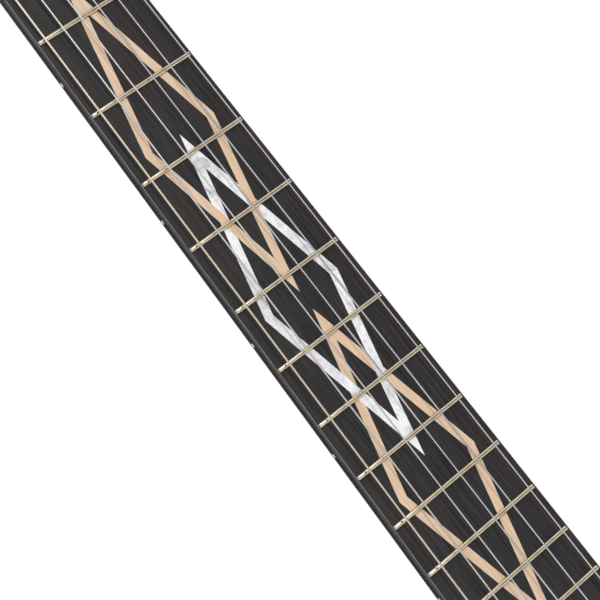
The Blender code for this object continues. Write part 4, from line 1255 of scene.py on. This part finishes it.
    def build_post(self, place: PostPlace) -> None:
        """A capstan with a waist, its brass gear and the screw that holds the gear."""
        body = f"post_{place.number}"
        foot = self.head.point(place.across, place.along, 0.0)
        rear = place.worm_level - self.gear_thickness / 2
        radius, waist = self.post_radius, self.waist_radius
        profile = [(rear + 0.2 * MM, radius * 0.9), (0.8 * MM, radius), (1.2 * MM, waist), (6.2 * MM, waist),
                   (6.8 * MM, radius), (9.6 * MM, radius), (9.8 * MM, radius - 0.15 * MM),
                   (10.0 * MM, radius), (self.post_top - 0.9 * MM, radius),
                   (self.post_top - 0.3 * MM, radius - 0.25 * MM), (self.post_top, radius - 0.9 * MM)]
        bm = bmesh.new()
        turned(bm, profile, foot, self.head.out, Vector((1, 0, 0)), 36)
        post = make_piece(f"post_shaft_{place.number}", bm, NICKEL, body,
                          stands_for=[f"string_post_{place.number}"])
        hole = bmesh.new()
        turned(hole, [(-6 * MM, 0.8 * MM), (6 * MM, 0.8 * MM)],
               self.head.point(place.across, place.along, 8.2 * MM), Vector((1, 0, 0)), self.head.up, 20)
        carve(post, hole)
        shade(post, 35)
        outline = []
        pitch = 2 * math.pi / self.teeth
        for tooth in range(self.teeth):
            for share, reach in ((-0.26, self.gear_root), (-0.17, self.gear_root + 0.5 * MM),
                                 (-0.11, self.gear_tip), (0.11, self.gear_tip),
                                 (0.17, self.gear_root + 0.5 * MM), (0.26, self.gear_root)):
                angle = math.pi / 2 + (tooth + share) * pitch
                outline.append(self.head.point(place.across + reach * math.cos(angle),
                                               place.along + reach * math.sin(angle), rear))
        bm = bmesh.new()
        prism(bm, outline, self.head.out * self.gear_thickness)
        soften(bm, 0.1 * MM, 1, 60.0)
        make_piece(f"post_gear_{place.number}", bm, BRASS, body)
        self.build_screw(f"gear_screw_{place.number}", self.head.point(place.across, place.along, rear),
                         -self.head.out, 2.0 * MM, body)

    def build_ferrule(self, place: PostPlace) -> None:
        """The press-in ring round a post on the head's face."""
        ring = [(-1.5 * MM, 3.25 * MM), (-1.5 * MM, 3.15 * MM), (0.7 * MM, 3.15 * MM), (0.7 * MM, 3.9 * MM),
                (0.5 * MM, 4.6 * MM), (0.2 * MM, 4.9 * MM), (0.0, 4.9 * MM), (0.0, 3.25 * MM)]
        foot = self.head.point(place.across, place.along, 0.0)
        bm = bmesh.new()
        edges = add_ring(bm, [foot + self.head.out * level + Vector((radius, 0, 0))
                              for level, radius in ring])
        bmesh.ops.spin(bm, geom=edges, cent=foot, axis=self.head.out, angle=2 * math.pi, steps=36,
                       use_merge=True)
        make_piece(f"post_ferrule_{place.number}", bm, NICKEL)

    def build_knob(self, place: PostPlace) -> None:
        """A worm on its shaft, with an oval cream button on the outer end."""
        body = f"knob_{place.number}"
        axis = Vector((place.side, 0, 0))
        centre = self.head.point(place.across, place.along + place.worm_rise, place.worm_level)
        inner = -self.worm_length / 2 - self.gap - self.lug_thickness - 0.8 * MM
        collar = self.button_offset - 2.0 * MM
        root = self.worm_root
        profile = [(inner, root - 0.3 * MM), (inner + 0.3 * MM, root), (collar, root), (collar, 2.5 * MM),
                   (collar + 0.5 * MM, 2.9 * MM), (collar + 1.8 * MM, 2.4 * MM),
                   (collar + 3.5 * MM, 2.4 * MM)]
        bm = bmesh.new()
        turned(bm, profile, centre, axis, self.head.up, 28)
        make_piece(f"worm_shaft_{place.number}", bm, STEEL, body,
                   stands_for=[f"tuning_knob_{place.number}"])
        self.build_thread(place, centre, body)
        self.build_button(place, centre, axis, body)

    def build_thread(self, place: PostPlace, centre: Vector, body: str) -> None:
        """The worm's thread: a wedge-shaped face spun along a helix."""
        start = -self.thread_turns * self.thread_pitch / 2
        deep = self.worm_root - 0.3 * MM
        shape = ((-0.45, deep), (-0.2, self.worm_radius), (0.2, self.worm_radius), (0.45, deep))
        turn = Matrix.Rotation(-math.pi * self.thread_turns + math.pi, 3, "X")
        bm = bmesh.new()
        columns = Matrix((Vector((1, 0, 0)), self.head.up, self.head.out)).transposed()
        points = [centre + columns @ (turn @ Vector((start + x * MM, -reach, 0))) for x, reach in shape]
        face = fill(bm, add_ring(bm, points))
        steps = int(self.thread_turns * 24)
        bmesh.ops.spin(bm, geom=[face], cent=centre, axis=(1, 0, 0), steps=steps,
                       dvec=(self.thread_turns * self.thread_pitch / steps, 0, 0),
                       angle=2 * math.pi * self.thread_turns)
        bmesh.ops.holes_fill(bm, edges=[edge for edge in bm.edges if edge.is_boundary])
        make_piece(f"worm_thread_{place.number}", bm, STEEL, body, smooth=50)

    def build_button(self, place: PostPlace, centre: Vector, axis: Vector, body: str) -> None:
        """An oval tablet, pinched towards the shaft and flattened on its faces."""
        length, width, thickness = self.button_size
        bm = bmesh.new()
        bmesh.ops.create_uvsphere(bm, u_segments=36, v_segments=20, radius=1.0,
                                  matrix=Matrix.Rotation(math.pi / 2, 4, "Y"))
        for vert in bm.verts:
            x, y, z = vert.co
            pinch = 1.0 - 0.38 * max(0.0, -x * place.side) ** 2
            flat = math.copysign(abs(z) ** 0.72, z)
            vert.co = Vector((math.copysign(abs(x) ** 0.86, x) * length / 2, y * width / 2 * pinch,
                              flat * thickness / 2 * (0.86 + 0.14 * pinch)))
        columns = Matrix((Vector((1, 0, 0)), self.head.up, self.head.out)).transposed().to_4x4()
        place_at = Matrix.Translation(centre + axis * (self.button_offset + length / 2)) @ columns
        bmesh.ops.transform(bm, matrix=place_at, verts=bm.verts)
        make_piece(f"knob_button_{place.number}", bm, CREAM, body, smooth=60)


# ---------------------------------------------------------------- body


@dataclass
class BodyShape:
    """The pear outline and the bowl's depth."""

    start: float = 378.0 * MM
    end: float = 778.0 * MM
    widest: float = 625.0 * MM
    half: float = 155.0 * MM
    shoulder: float = 30.0 * MM
    depth: float = 164.0 * MM
    rim: float = -9.4 * MM
    shoulder_steps: int = 30
    tail_steps: int = 26

    def stations(self, inset: float = 0.0) -> list[tuple[float, float]]:
        """Pairs of (along, half width) from the shoulder to the tail, drawn in by inset."""
        start, half, shoulder = self.start + inset, self.half - inset, self.shoulder - inset
        pairs = []
        for step in range(self.shoulder_steps):
            rest = 1 - step / self.shoulder_steps
            pairs.append((self.widest - rest * (self.widest - start),
                          shoulder + (half - shoulder) * (1 - rest ** 2)))
        tail = self.end - inset - self.widest
        for step in range(self.tail_steps + 1):
            angle = math.pi / 2 * step / self.tail_steps
            pairs.append((self.widest + tail * math.sin(angle), half * math.cos(angle)))
        return pairs

    def outline(self, inset: float, height: float) -> list[Vector]:
        """The closed outline at a height off the board."""
        pairs = self.stations(inset)
        right = [on_board(along, half, height) for along, half in pairs[:-1]]
        left = [on_board(along, -half, height) for along, half in reversed(pairs[:-1])]
        return right + [on_board(pairs[-1][0], 0.0, height)] + left

    def skin(self, along: float, width: float, angle: float, inset: float = 0.0) -> Vector:
        """A point on the bowl, at an angle from the treble rim round to the bass rim."""
        deep = width * (self.depth - inset) / (self.half - inset)
        return on_board(along, width * math.cos(angle), self.rim - deep * math.sin(angle))


@dataclass
class Bowl:
    """The ribbed back: walnut ribs with pale strips between them, and a cap round the tail."""

    shape: BodyShape
    ribs: int = 19
    wall: float = 3.2 * MM
    strip: float = 0.9 * MM
    rib_crown: float = 0.35 * MM
    steps_across: int = 4

    def build(self) -> None:
        """Build the ribs, the strips, the cap and the end wall."""
        for number in range(self.ribs):
            self.build_rib(number)
        for number in range(1, self.ribs):
            self.build_strip(number)
        self.build_end_wall()
        self.build_tail_cap()

    def edge_angle(self, number: int) -> float:
        """The angle of the joint before a rib."""
        return math.pi * number / self.ribs

    def rows(self) -> list[tuple[tuple[float, float], tuple[float, float]]]:
        """Outer and inner stations, matched, stopping just short of the tail."""
        outer, inner = self.shape.stations(), self.shape.stations(self.wall)
        return [(o, i) for o, i in zip(outer, inner) if o[1] > self.shape.half * 0.045]

    def build_rib(self, number: int) -> None:
        """One rib, slightly crowned across, from the shoulder to the tail."""
        first, last = self.edge_angle(number), self.edge_angle(number + 1)
        rings = []
        for (along, width), (inner_along, inner_width) in self.rows():
            margin = 0.5 * self.strip / max(width, 1.0 * MM)
            a0 = first + (margin if number else 0.0)
            a1 = last - (margin if number < self.ribs - 1 else 0.0)
            crown = self.rib_crown * min(1.0, width / (60 * MM))
            outer, inner = [], []
            for step in range(self.steps_across + 1):
                share = step / self.steps_across
                chord = self.shape.skin(along, width, a0).lerp(self.shape.skin(along, width, a1), share)
                middle = on_board(along, 0.0, self.shape.rim)
                out = (chord - middle).normalized()
                outer.append(chord + out * crown * math.sin(math.pi * share))
                inner.append(self.shape.skin(inner_along, inner_width, a0 + (a1 - a0) * share, self.wall))
            rings.append(outer + inner[::-1])
        bm = bmesh.new()
        loft(bm, rings)
        finish = WALNUT if number % 2 else WALNUT_PALE
        nodes = ["bowl"] if number == 0 else []
        make_piece(f"bowl_rib_{number + 1:02d}", bm, finish, smooth=30, stands_for=nodes)

    def build_strip(self, number: int) -> None:
        """A pale strip in the joint between two ribs."""
        middle = self.edge_angle(number)
        rings = []
        for (along, width), (inner_along, inner_width) in self.rows():
            half = 0.5 * self.strip / max(width, 1.0 * MM)
            angles = (middle - half, middle, middle + half)
            outer = [self.shape.skin(along, width, angle) for angle in angles]
            inner = [self.shape.skin(inner_along, inner_width, angle, self.wall) for angle in angles]
            rings.append(outer + inner[::-1])
        bm = bmesh.new()
        loft(bm, rings)
        make_piece(f"bowl_strip_{number:02d}", bm, MAPLE, smooth=30)

    def build_end_wall(self) -> None:
        """The flat wall behind the heel, with its mortise hidden by the neck."""
        steps = 40
        pairs = ((self.shape.start + 0.02 * MM, 0.25 * MM), (self.shape.start + self.wall, 0.25 * MM))
        rings = []
        for along, inset in pairs:
            rings.append([self.shape.skin(along, self.shape.shoulder - inset, math.pi * step / steps)
                          for step in range(steps + 1)])
        bm = bmesh.new()
        loft(bm, rings)
        make_piece("bowl_end_wall", bm, WALNUT, smooth=30)

    def build_tail_cap(self) -> None:
        """A broad cap let over the rib ends at the tail."""
        shape = self.shape
        reach = shape.end - shape.widest
        steps_round, steps_in = 40, 8
        widest = math.radians(24.0)
        rows = []
        for ring in range(steps_in + 1):
            lean = math.pi / 2 - widest * (1 - ring / steps_in)
            along = shape.widest + (reach + 0.15 * MM) * math.sin(lean)
            width = (shape.half + 0.15 * MM) * math.cos(lean) + 0.02 * MM
            rows.append([shape.skin(along, width, math.pi * step / steps_round)
                         for step in range(steps_round + 1)])
        bm = bmesh.new()
        inner = [[point + Vector((0, 0, 2.2 * MM)) for point in row] for row in rows]
        outer_edges = [add_ring(bm, outer + back[::-1]) for outer, back in zip(rows, inner)]
        for near, far in zip(outer_edges, outer_edges[1:]):
            bmesh.ops.bridge_loops(bm, edges=near + far)
        fill(bm, outer_edges[0])
        fill(bm, outer_edges[-1])
        make_piece("bowl_tail_cap", bm, WALNUT_PALE, smooth=30)


@dataclass
class Top:
    """Soundboard, binding, purfling, rosette and pickguard."""

    shape: BodyShape
    binding_width: float = 2.0 * MM
    gap: float = 0.3 * MM
    hole_along: float = 540.0 * MM
    hole_half_across: float = 46.0 * MM
    hole_half_along: float = 33.0 * MM
    proud: float = 0.03 * MM
    inlay_depth: float = 0.8 * MM

    def __post_init__(self) -> None:
        """Read the levels from the CAD."""
        self.bottom, self.top = box_height("soundboard")

    def build(self) -> None:
        """Build all of it."""
        self.build_soundboard()
        self.build_binding()
        lines = ((0.32, 0.5, EBONY), (0.82, 1.0, MAPLE), (1.82, 0.5, EBONY), (2.9, 2.2, PEARL),
                 (5.6, 0.5, EBONY))
        for number, (start, width, finish) in enumerate(lines):
            self.build_purfling(number + 1, start * MM, width * MM, finish)
        rings = ((2.0, 0.7, EBONY), (2.7, 1.3, MAPLE), (4.0, 0.7, EBONY), (4.7, 4.2, PEARL),
                 (8.9, 0.7, EBONY), (9.6, 1.3, MAPLE), (10.9, 0.7, EBONY))
        for number, (start, width, finish) in enumerate(rings):
            self.build_rosette_ring(number + 1, start * MM, width * MM, finish)
        self.build_pickguard()
        for node in ("brace_upper", "brace_lower"):
            dress_node(node, CEDAR)
        for node in ("neck_block", "tail_block"):
            dress_node(node, CEDAR)

    def build_soundboard(self) -> None:
        """The spruce plate with its oval hole."""
        thickness = self.top - self.bottom
        bm = bmesh.new()
        prism(bm, self.shape.outline(self.binding_width + 0.02 * MM, self.bottom), Vector((0, -thickness, 0)))
        plate = make_piece("spruce_soundboard", bm, SPRUCE, smooth=30, stands_for=["soundboard"])
        hole = bmesh.new()
        prism(hole, oval_points(self.hole_along, self.hole_half_along, self.hole_half_across,
                                self.bottom - 0.01),
              Vector((0, -0.02, 0)))
        carve(plate, hole)
        shade(plate, 30)

    def build_binding(self) -> None:
        """The maple strip round the edge, with its outer corner eased."""
        thickness = self.top - self.bottom + self.gap
        bm = bmesh.new()
        base = self.bottom - self.gap
        band(bm, self.shape.outline(0.0, base), self.shape.outline(self.binding_width, base),
             Vector((0, -thickness, 0)))
        soften(bm, 0.5 * MM, 3, 60.0, keep=lambda edge: all(
            abs(-v.co.y - self.top) < 1e-6 for v in edge.verts))
        make_piece("maple_binding", bm, MAPLE, smooth=40, stands_for=["top_binding"])

    def build_purfling(self, number: int, start: float, width: float, finish: Finish) -> None:
        """One inlaid line just inside the binding."""
        level = self.top - self.inlay_depth
        first = self.binding_width + start
        bm = bmesh.new()
        band(bm, self.shape.outline(first, level), self.shape.outline(first + width, level),
             Vector((0, -self.inlay_depth - self.proud, 0)))
        make_piece(f"purfling_{number}", bm, finish, smooth=30)

    def build_rosette_ring(self, number: int, start: float, width: float, finish: Finish) -> None:
        """One inlaid ring round the sound hole."""
        level = self.top - self.inlay_depth
        near = oval_points(self.hole_along, self.hole_half_along + start,
                           self.hole_half_across + start, level, 96)
        far = oval_points(self.hole_along, self.hole_half_along + start + width,
                          self.hole_half_across + start + width, level, 96)
        bm = bmesh.new()
        band(bm, far, near, Vector((0, -self.inlay_depth - self.proud, 0)))
        make_piece(f"rosette_ring_{number}", bm, finish, smooth=30)

    def crescent(self, inset: float, level: float) -> list[Vector]:
        """The pickguard's outline round the tail side of the hole, drawn in by inset."""
        steps = 40
        margin, width = 5.0 * MM + inset, 28.0 * MM - 2 * inset
        half_sweep = math.radians(80.0) - inset / (60 * MM)
        outer, inner = [], []
        for step in range(steps + 1):
            angle = half_sweep * (2 * step / steps - 1)
            taper = math.cos(angle * 0.9) ** 0.5
            for arc, extra in ((outer, margin + width * taper), (inner, margin)):
                arc.append(on_board(self.hole_along + (self.hole_half_along + extra) * math.cos(angle),
                                    (self.hole_half_across + extra) * math.sin(angle), level))
        return outer + inner[::-1]

    def build_pickguard(self) -> None:
        """The dark crescent with a pale line let into it."""
        low, high = box_height("pickguard")
        bm = bmesh.new()
        prism(bm, self.crescent(0.0, low), Vector((0, low - high, 0)))
        soften(bm, 0.3 * MM, 2, 50.0)
        make_piece("dark_pickguard", bm, DARK_PLATE, smooth=40, stands_for=["pickguard"])
        bm = bmesh.new()
        level = high - 0.4 * MM
        band(bm, self.crescent(2.4 * MM, level), self.crescent(3.4 * MM, level), Vector((0, -0.43 * MM, 0)))
        make_piece("pickguard_line", bm, MAPLE, smooth=30)


# ---------------------------------------------------------------- bridge and tail


@dataclass
class Fittings:
    """Bridge, saddle, tailpiece, cover, string ends and strap button."""

    bridge_half: float = 56.0 * MM
    bridge_foot: float = 12.0 * MM
    bridge_top: float = 6.8 * MM
    bridge_height: float = 9.8 * MM
    bridge_end_height: float = 3.4 * MM
    bar_slot: float = 1.5 * MM

    def build(self) -> None:
        """Build all of it."""
        self.build_bridge()
        self.build_saddle()
        self.build_tailpiece()
        self.build_cover()
        self.build_ball_ends()
        self.build_strap_button()

    def build_bridge(self) -> None:
        """A low bridge that tapers to its ends, with its upper edges eased."""
        low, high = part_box("bridge")
        along, foot = -(low.z + high.z) / 2, -high.y
        rings = []
        steps = 24
        for step in range(steps + 1):
            place = 2 * step / steps - 1
            lean = max(0.0, (abs(place) - 0.58) / 0.42)
            fall = (1 - math.cos(math.pi * lean)) / 2
            height = self.bridge_height + (self.bridge_end_height - self.bridge_height) * fall
            half_foot = self.bridge_foot / 2 * (1 - 0.3 * lean ** 2)
            half_top = self.bridge_top / 2 * (1 - 0.4 * lean)
            corners = ((-half_foot, 0.0), (half_foot, 0.0), (half_foot, 1.5 * MM), (half_top, height),
                       (-half_top, height), (-half_foot, 1.5 * MM))
            rings.append([on_board(along + offset, place * self.bridge_half, foot + level)
                          for offset, level in corners])
        bm = bmesh.new()
        loft(bm, rings)
        soften(bm, 0.5 * MM, 3, 30.0)
        bridge = make_piece("ebony_bridge", bm, EBONY, stands_for=["bridge"])
        saddle_low, saddle_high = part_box("saddle")
        slot = bmesh.new()
        margin = Vector((0.05, 0.02, 0.05)) * MM
        box(slot, saddle_low - margin - Vector((0, 0.01, 0)), saddle_high + margin)
        carve(bridge, slot)
        shade(bridge, 35)

    def build_saddle(self) -> None:
        """The bone saddle with its top rounded over."""
        low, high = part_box("saddle")
        bm = bmesh.new()
        box(bm, low, high)
        soften(bm, 1.2 * MM, 5, 50.0, keep=lambda edge: all(v.co.y < low.y + 1e-6 for v in edge.verts)
               and abs(edge.verts[0].co.x - edge.verts[1].co.x) > 1 * MM)
        make_piece("bone_saddle", bm, BONE, smooth=50, stands_for=["saddle"])

    def build_tailpiece(self) -> None:
        """The bent plate with a slotted bar for the string ends."""
        low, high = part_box("tailpiece")
        thickness = 1.5 * MM
        foot = box_height("soundboard")[1] + 0.3 * MM
        inside = -low.z - thickness
        front = -high.z
        profile = [(front, foot), (front, foot + thickness)]
        bend = 2.6 * MM
        for step in range(9):
            angle = math.pi / 2 * step / 8
            profile.append((inside + thickness - bend + bend * math.sin(angle),
                            foot + thickness - bend + bend * math.cos(angle)))
        profile += [(inside + thickness, -high.y), (inside, -high.y)]
        for step in range(9):
            angle = math.pi / 2 * (1 - step / 8)
            small = bend - thickness
            profile.append((inside - small + small * math.sin(angle), foot - small + small * math.cos(angle)))
        bm = bmesh.new()
        prism(bm, [on_board(along, low.x, height) for along, height in profile],
              Vector((high.x - low.x, 0, 0)))
        soften(bm, 0.3 * MM, 2, 50.0)
        plate = make_piece("tailpiece_plate", bm, NICKEL, stands_for=["tailpiece"])
        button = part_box("strap_button")
        hole = bmesh.new()
        centre = (button[0] + button[1]) / 2
        turned(hole, [(-60 * MM, 3.3 * MM), (60 * MM, 3.3 * MM)], centre, Vector((0, 0, -1)),
               Vector((1, 0, 0)))
        carve(plate, hole)
        shade(plate, 35)
        bar_top = -low.y
        outline = comb_outline(22.5 * MM, foot + thickness - 0.1 * MM, bar_top, HEIGHTS.at_tail - 0.6 * MM,
                               self.bar_slot, HEIGHTS.tail_spacing)
        start = box_along(STRINGS[0])[1] + 0.3 * MM
        bm = bmesh.new()
        prism(bm, [on_board(start, across, height) for across, height in outline], Vector((0, 0, -2.5 * MM)))
        soften(bm, 0.15 * MM, 1, 60.0)
        make_piece("string_end_bar", bm, NICKEL)

    def build_cover(self) -> None:
        """A thin cover, open to the front and below, with a raised diamond on its top."""
        low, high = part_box("tail_cover")
        wall = 1.0 * MM
        bm = bmesh.new()
        relief = 0.3 * MM
        box(bm, low + Vector((0.0, relief, 0.0)), high)
        soften(bm, 2.2 * MM, 4, 50.0,
               keep=lambda edge: all(v.co.y < low.y + relief + 1e-6 for v in edge.verts)
               and not all(v.co.z > high.z - 1e-6 for v in edge.verts))
        cover = make_piece("tail_cover_shell", bm, NICKEL, stands_for=["tail_cover"])
        hollow = bmesh.new()
        box(hollow, Vector((low.x + wall, low.y + relief + wall, low.z + wall)),
            Vector((high.x - wall, high.y + 0.01, high.z + 0.01)))
        soften(hollow, 1.4 * MM, 4, 50.0,
               keep=lambda edge: all(v.co.y < low.y + relief + wall + 1e-6 for v in edge.verts))
        carve(cover, hollow)
        shade(cover, 35)
        middle, level = -(low.z + high.z) / 2, -low.y
        bm = bmesh.new()
        corners = ((-24.0, 0.0), (0.0, 15.0), (24.0, 0.0), (0.0, -15.0))
        face = fill(bm, add_ring(bm, [on_board(middle + a * MM, x * MM, level) for a, x in corners]))
        bmesh.ops.inset_region(bm, faces=[face], thickness=1.8 * MM, use_even_offset=True, use_boundary=True)
        bmesh.ops.delete(bm, geom=[face], context="FACES_ONLY")
        moved = bmesh.ops.extrude_face_region(bm, geom=list(bm.faces), use_keep_orig=True)["geom"]
        bmesh.ops.translate(bm, vec=(0, 2 * relief, 0),
                            verts=[v for v in moved if isinstance(v, bmesh.types.BMVert)])
        make_piece("cover_diamond", bm, BRASS, smooth=None)

    def build_ball_ends(self) -> None:
        """The small brass barrels at the string ends, behind the bar."""
        start = box_along(STRINGS[0])[1] + 0.3 * MM + 2.5 * MM
        for index in range(len(STRINGS)):
            across = (index - (len(STRINGS) - 1) / 2) * HEIGHTS.tail_spacing
            centre = on_board(start + 2.0 * MM, across, HEIGHTS.at_tail)
            profile = [(-2.0 * MM, 1.4 * MM), (-1.6 * MM, 1.8 * MM), (-0.5 * MM, 1.4 * MM),
                       (0.5 * MM, 1.4 * MM), (1.6 * MM, 1.8 * MM), (2.0 * MM, 1.4 * MM)]
            bm = bmesh.new()
            turned(bm, profile, centre, Vector((1, 0, 0)), Vector((0, 0, 1)), 24)
            make_piece(f"string_ball_{index + 1}", bm, BRASS)

    def build_strap_button(self) -> None:
        """A turned button with a slotted screw in its end."""
        low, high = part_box("strap_button")
        centre = Vector(((low.x + high.x) / 2, (low.y + high.y) / 2, low.z + 13.0 * MM))
        length = 13.0 * MM
        reach = high.z - centre.z
        profile = [(-reach, 2.0 * MM), (-reach + 6 * MM, 3.0 * MM), (0.0, 3.0 * MM), (0.0, 5.9 * MM),
                   (0.3 * MM, 6.2 * MM), (1.5 * MM, 6.2 * MM)]
        profile += [(1.5 * MM + 3.5 * MM * share, (6.2 - 2.0 * math.sin(math.pi / 2 * share)) * MM)
                    for share in (0.2, 0.4, 0.6, 0.8, 1.0)]
        profile += [(8.0 * MM, 4.2 * MM), (9.2 * MM, 4.7 * MM), (10.2 * MM, 5.8 * MM), (10.9 * MM, 6.8 * MM),
                    (11.3 * MM, 7.0 * MM), (12.2 * MM, 7.0 * MM), (12.8 * MM, 6.7 * MM), (length, 6.0 * MM)]
        bm = bmesh.new()
        turned(bm, profile, centre, Vector((0, 0, -1)), Vector((1, 0, 0)), 40)
        button = make_piece("strap_button_turned", bm, NICKEL, stands_for=["strap_button"])
        slot = bmesh.new()
        slot_low = Vector((-3.2 * MM, centre.y - 0.45 * MM, low.z - 1 * MM))
        box(slot, slot_low, Vector((3.2 * MM, centre.y + 0.45 * MM, low.z + 0.8 * MM)))
        carve(button, slot)
        shade(button, 35)


# ---------------------------------------------------------------- studio


@dataclass
class Studio:
    """Camera, lights, white surroundings and a pale floor."""

    eye: tuple[float, float, float] = (-0.23431, -0.56787, -0.21853)
    aim: tuple[float, float, float] = (-0.0019, 0.0, -0.2004)
    roll: float = -37.384
    lens: float = 102.13
    floor_drop: float = 0.06

    def build(self) -> None:
        """Set up the camera, the lights and the floor."""
        self.build_camera()
        self.build_surroundings()
        self.build_lamp("upper_key", (0.09, -1.0, 0.6), 0.85, 3.0)
        self.build_lamp("lower_key", (0.09, -1.0, -0.6), 0.85, 3.0)
        self.build_lamp("soft_side", (-0.50, -0.86, 0.0), 0.9, 84.0)
        self.build_floor()
        bpy.context.scene.view_settings.view_transform = "Standard"

    def build_camera(self) -> None:
        """The camera at its place, aimed and rolled."""
        data = bpy.data.cameras.new("camera")
        data.lens, data.sensor_width = self.lens, 36.0
        data.clip_start, data.clip_end = 0.01, 20.0
        camera = bpy.data.objects.new("camera", data)
        bpy.context.collection.objects.link(camera)
        eye, aim = Vector(self.eye), Vector(self.aim)
        turn = (aim - eye).to_track_quat("-Z", "Y").to_matrix().to_4x4()
        camera.matrix_world = (Matrix.Translation(eye) @ turn
                               @ Matrix.Rotation(math.radians(self.roll), 4, "Z"))
        bpy.context.scene.camera = camera

    def build_surroundings(self) -> None:
        """A white world whose light comes from beyond both ends of the instrument, as from two soft boxes."""
        world = bpy.data.worlds.new("studio")
        world.use_nodes = True
        tree = world.node_tree
        tree.nodes.clear()
        where = tree.nodes.new("ShaderNodeTexCoord")
        split = tree.nodes.new("ShaderNodeSeparateXYZ")
        level = tree.nodes.new("ShaderNodeMath")
        level.operation = "ABSOLUTE"
        ramp = tree.nodes.new("ShaderNodeValToRGB")
        stops = ((0.0, 0.13), (0.22, 0.18), (0.55, 1.0), (1.0, 1.0))
        for index, (place, value) in enumerate(stops):
            element = ramp.color_ramp.elements[index] if index < 2 else ramp.color_ramp.elements.new(place)
            element.position, element.color = place, (value, value, value, 1.0)
        light = tree.nodes.new("ShaderNodeBackground")
        seen = tree.nodes.new("ShaderNodeBackground")
        seen.inputs["Strength"].default_value = 1.0
        seen.inputs["Color"].default_value = (1, 1, 1, 1)
        path = tree.nodes.new("ShaderNodeLightPath")
        mix = tree.nodes.new("ShaderNodeMixShader")
        out = tree.nodes.new("ShaderNodeOutputWorld")
        links = tree.links
        links.new(where.outputs["Object"], split.inputs["Vector"])
        links.new(split.outputs["Z"], level.inputs[0])
        links.new(level.outputs["Value"], ramp.inputs["Fac"])
        links.new(ramp.outputs["Color"], light.inputs["Color"])
        links.new(path.outputs["Is Camera Ray"], mix.inputs["Fac"])
        links.new(light.outputs["Background"], mix.inputs[1])
        links.new(seen.outputs["Background"], mix.inputs[2])
        links.new(mix.outputs["Shader"], out.inputs["Surface"])
        bpy.context.scene.world = world

    def build_lamp(self, name: str, toward: tuple[float, float, float], strength: float,
                   spread: float) -> None:
        """A sun that shines from a direction, with a soft edge of so many degrees."""
        data = bpy.data.lights.new(name, "SUN")
        data.energy, data.angle = strength, math.radians(spread)
        lamp = bpy.data.objects.new(name, data)
        bpy.context.collection.objects.link(lamp)
        lamp.matrix_world = Vector(toward).to_track_quat("Z", "Y").to_matrix().to_4x4()

    def build_floor(self) -> None:
        """A pale round floor below the hanging instrument."""
        low, _ = CAD_BOX
        bm = bmesh.new()
        bmesh.ops.create_circle(bm, cap_ends=True, segments=96, radius=1.6,
                                matrix=Matrix.Translation((0, 0, low.z - self.floor_drop)))
        mesh = bpy.data.meshes.new("floor")
        bm.to_mesh(mesh)
        bm.free()
        mesh.materials.append(GROUND.material())
        floor = bpy.data.objects.new("floor", mesh)
        bpy.context.collection.objects.link(floor)


def main() -> None:
    """Build the bouzouki around its frame, then the studio."""
    logging.basicConfig(level=logging.INFO, format="%(name)s: %(message)s")
    head, places = read_head(frame["joints"])
    board = Fretboard()
    shape = BodyShape()
    Studio().build()
    board.build()
    StringSet(head, places).build()
    Neck(board, head, places).build()
    TuningMachines(head, places).build()
    Bowl(shape).build()
    Top(shape).build()
    Fittings().build()


if __name__ == "__main__":
    main()
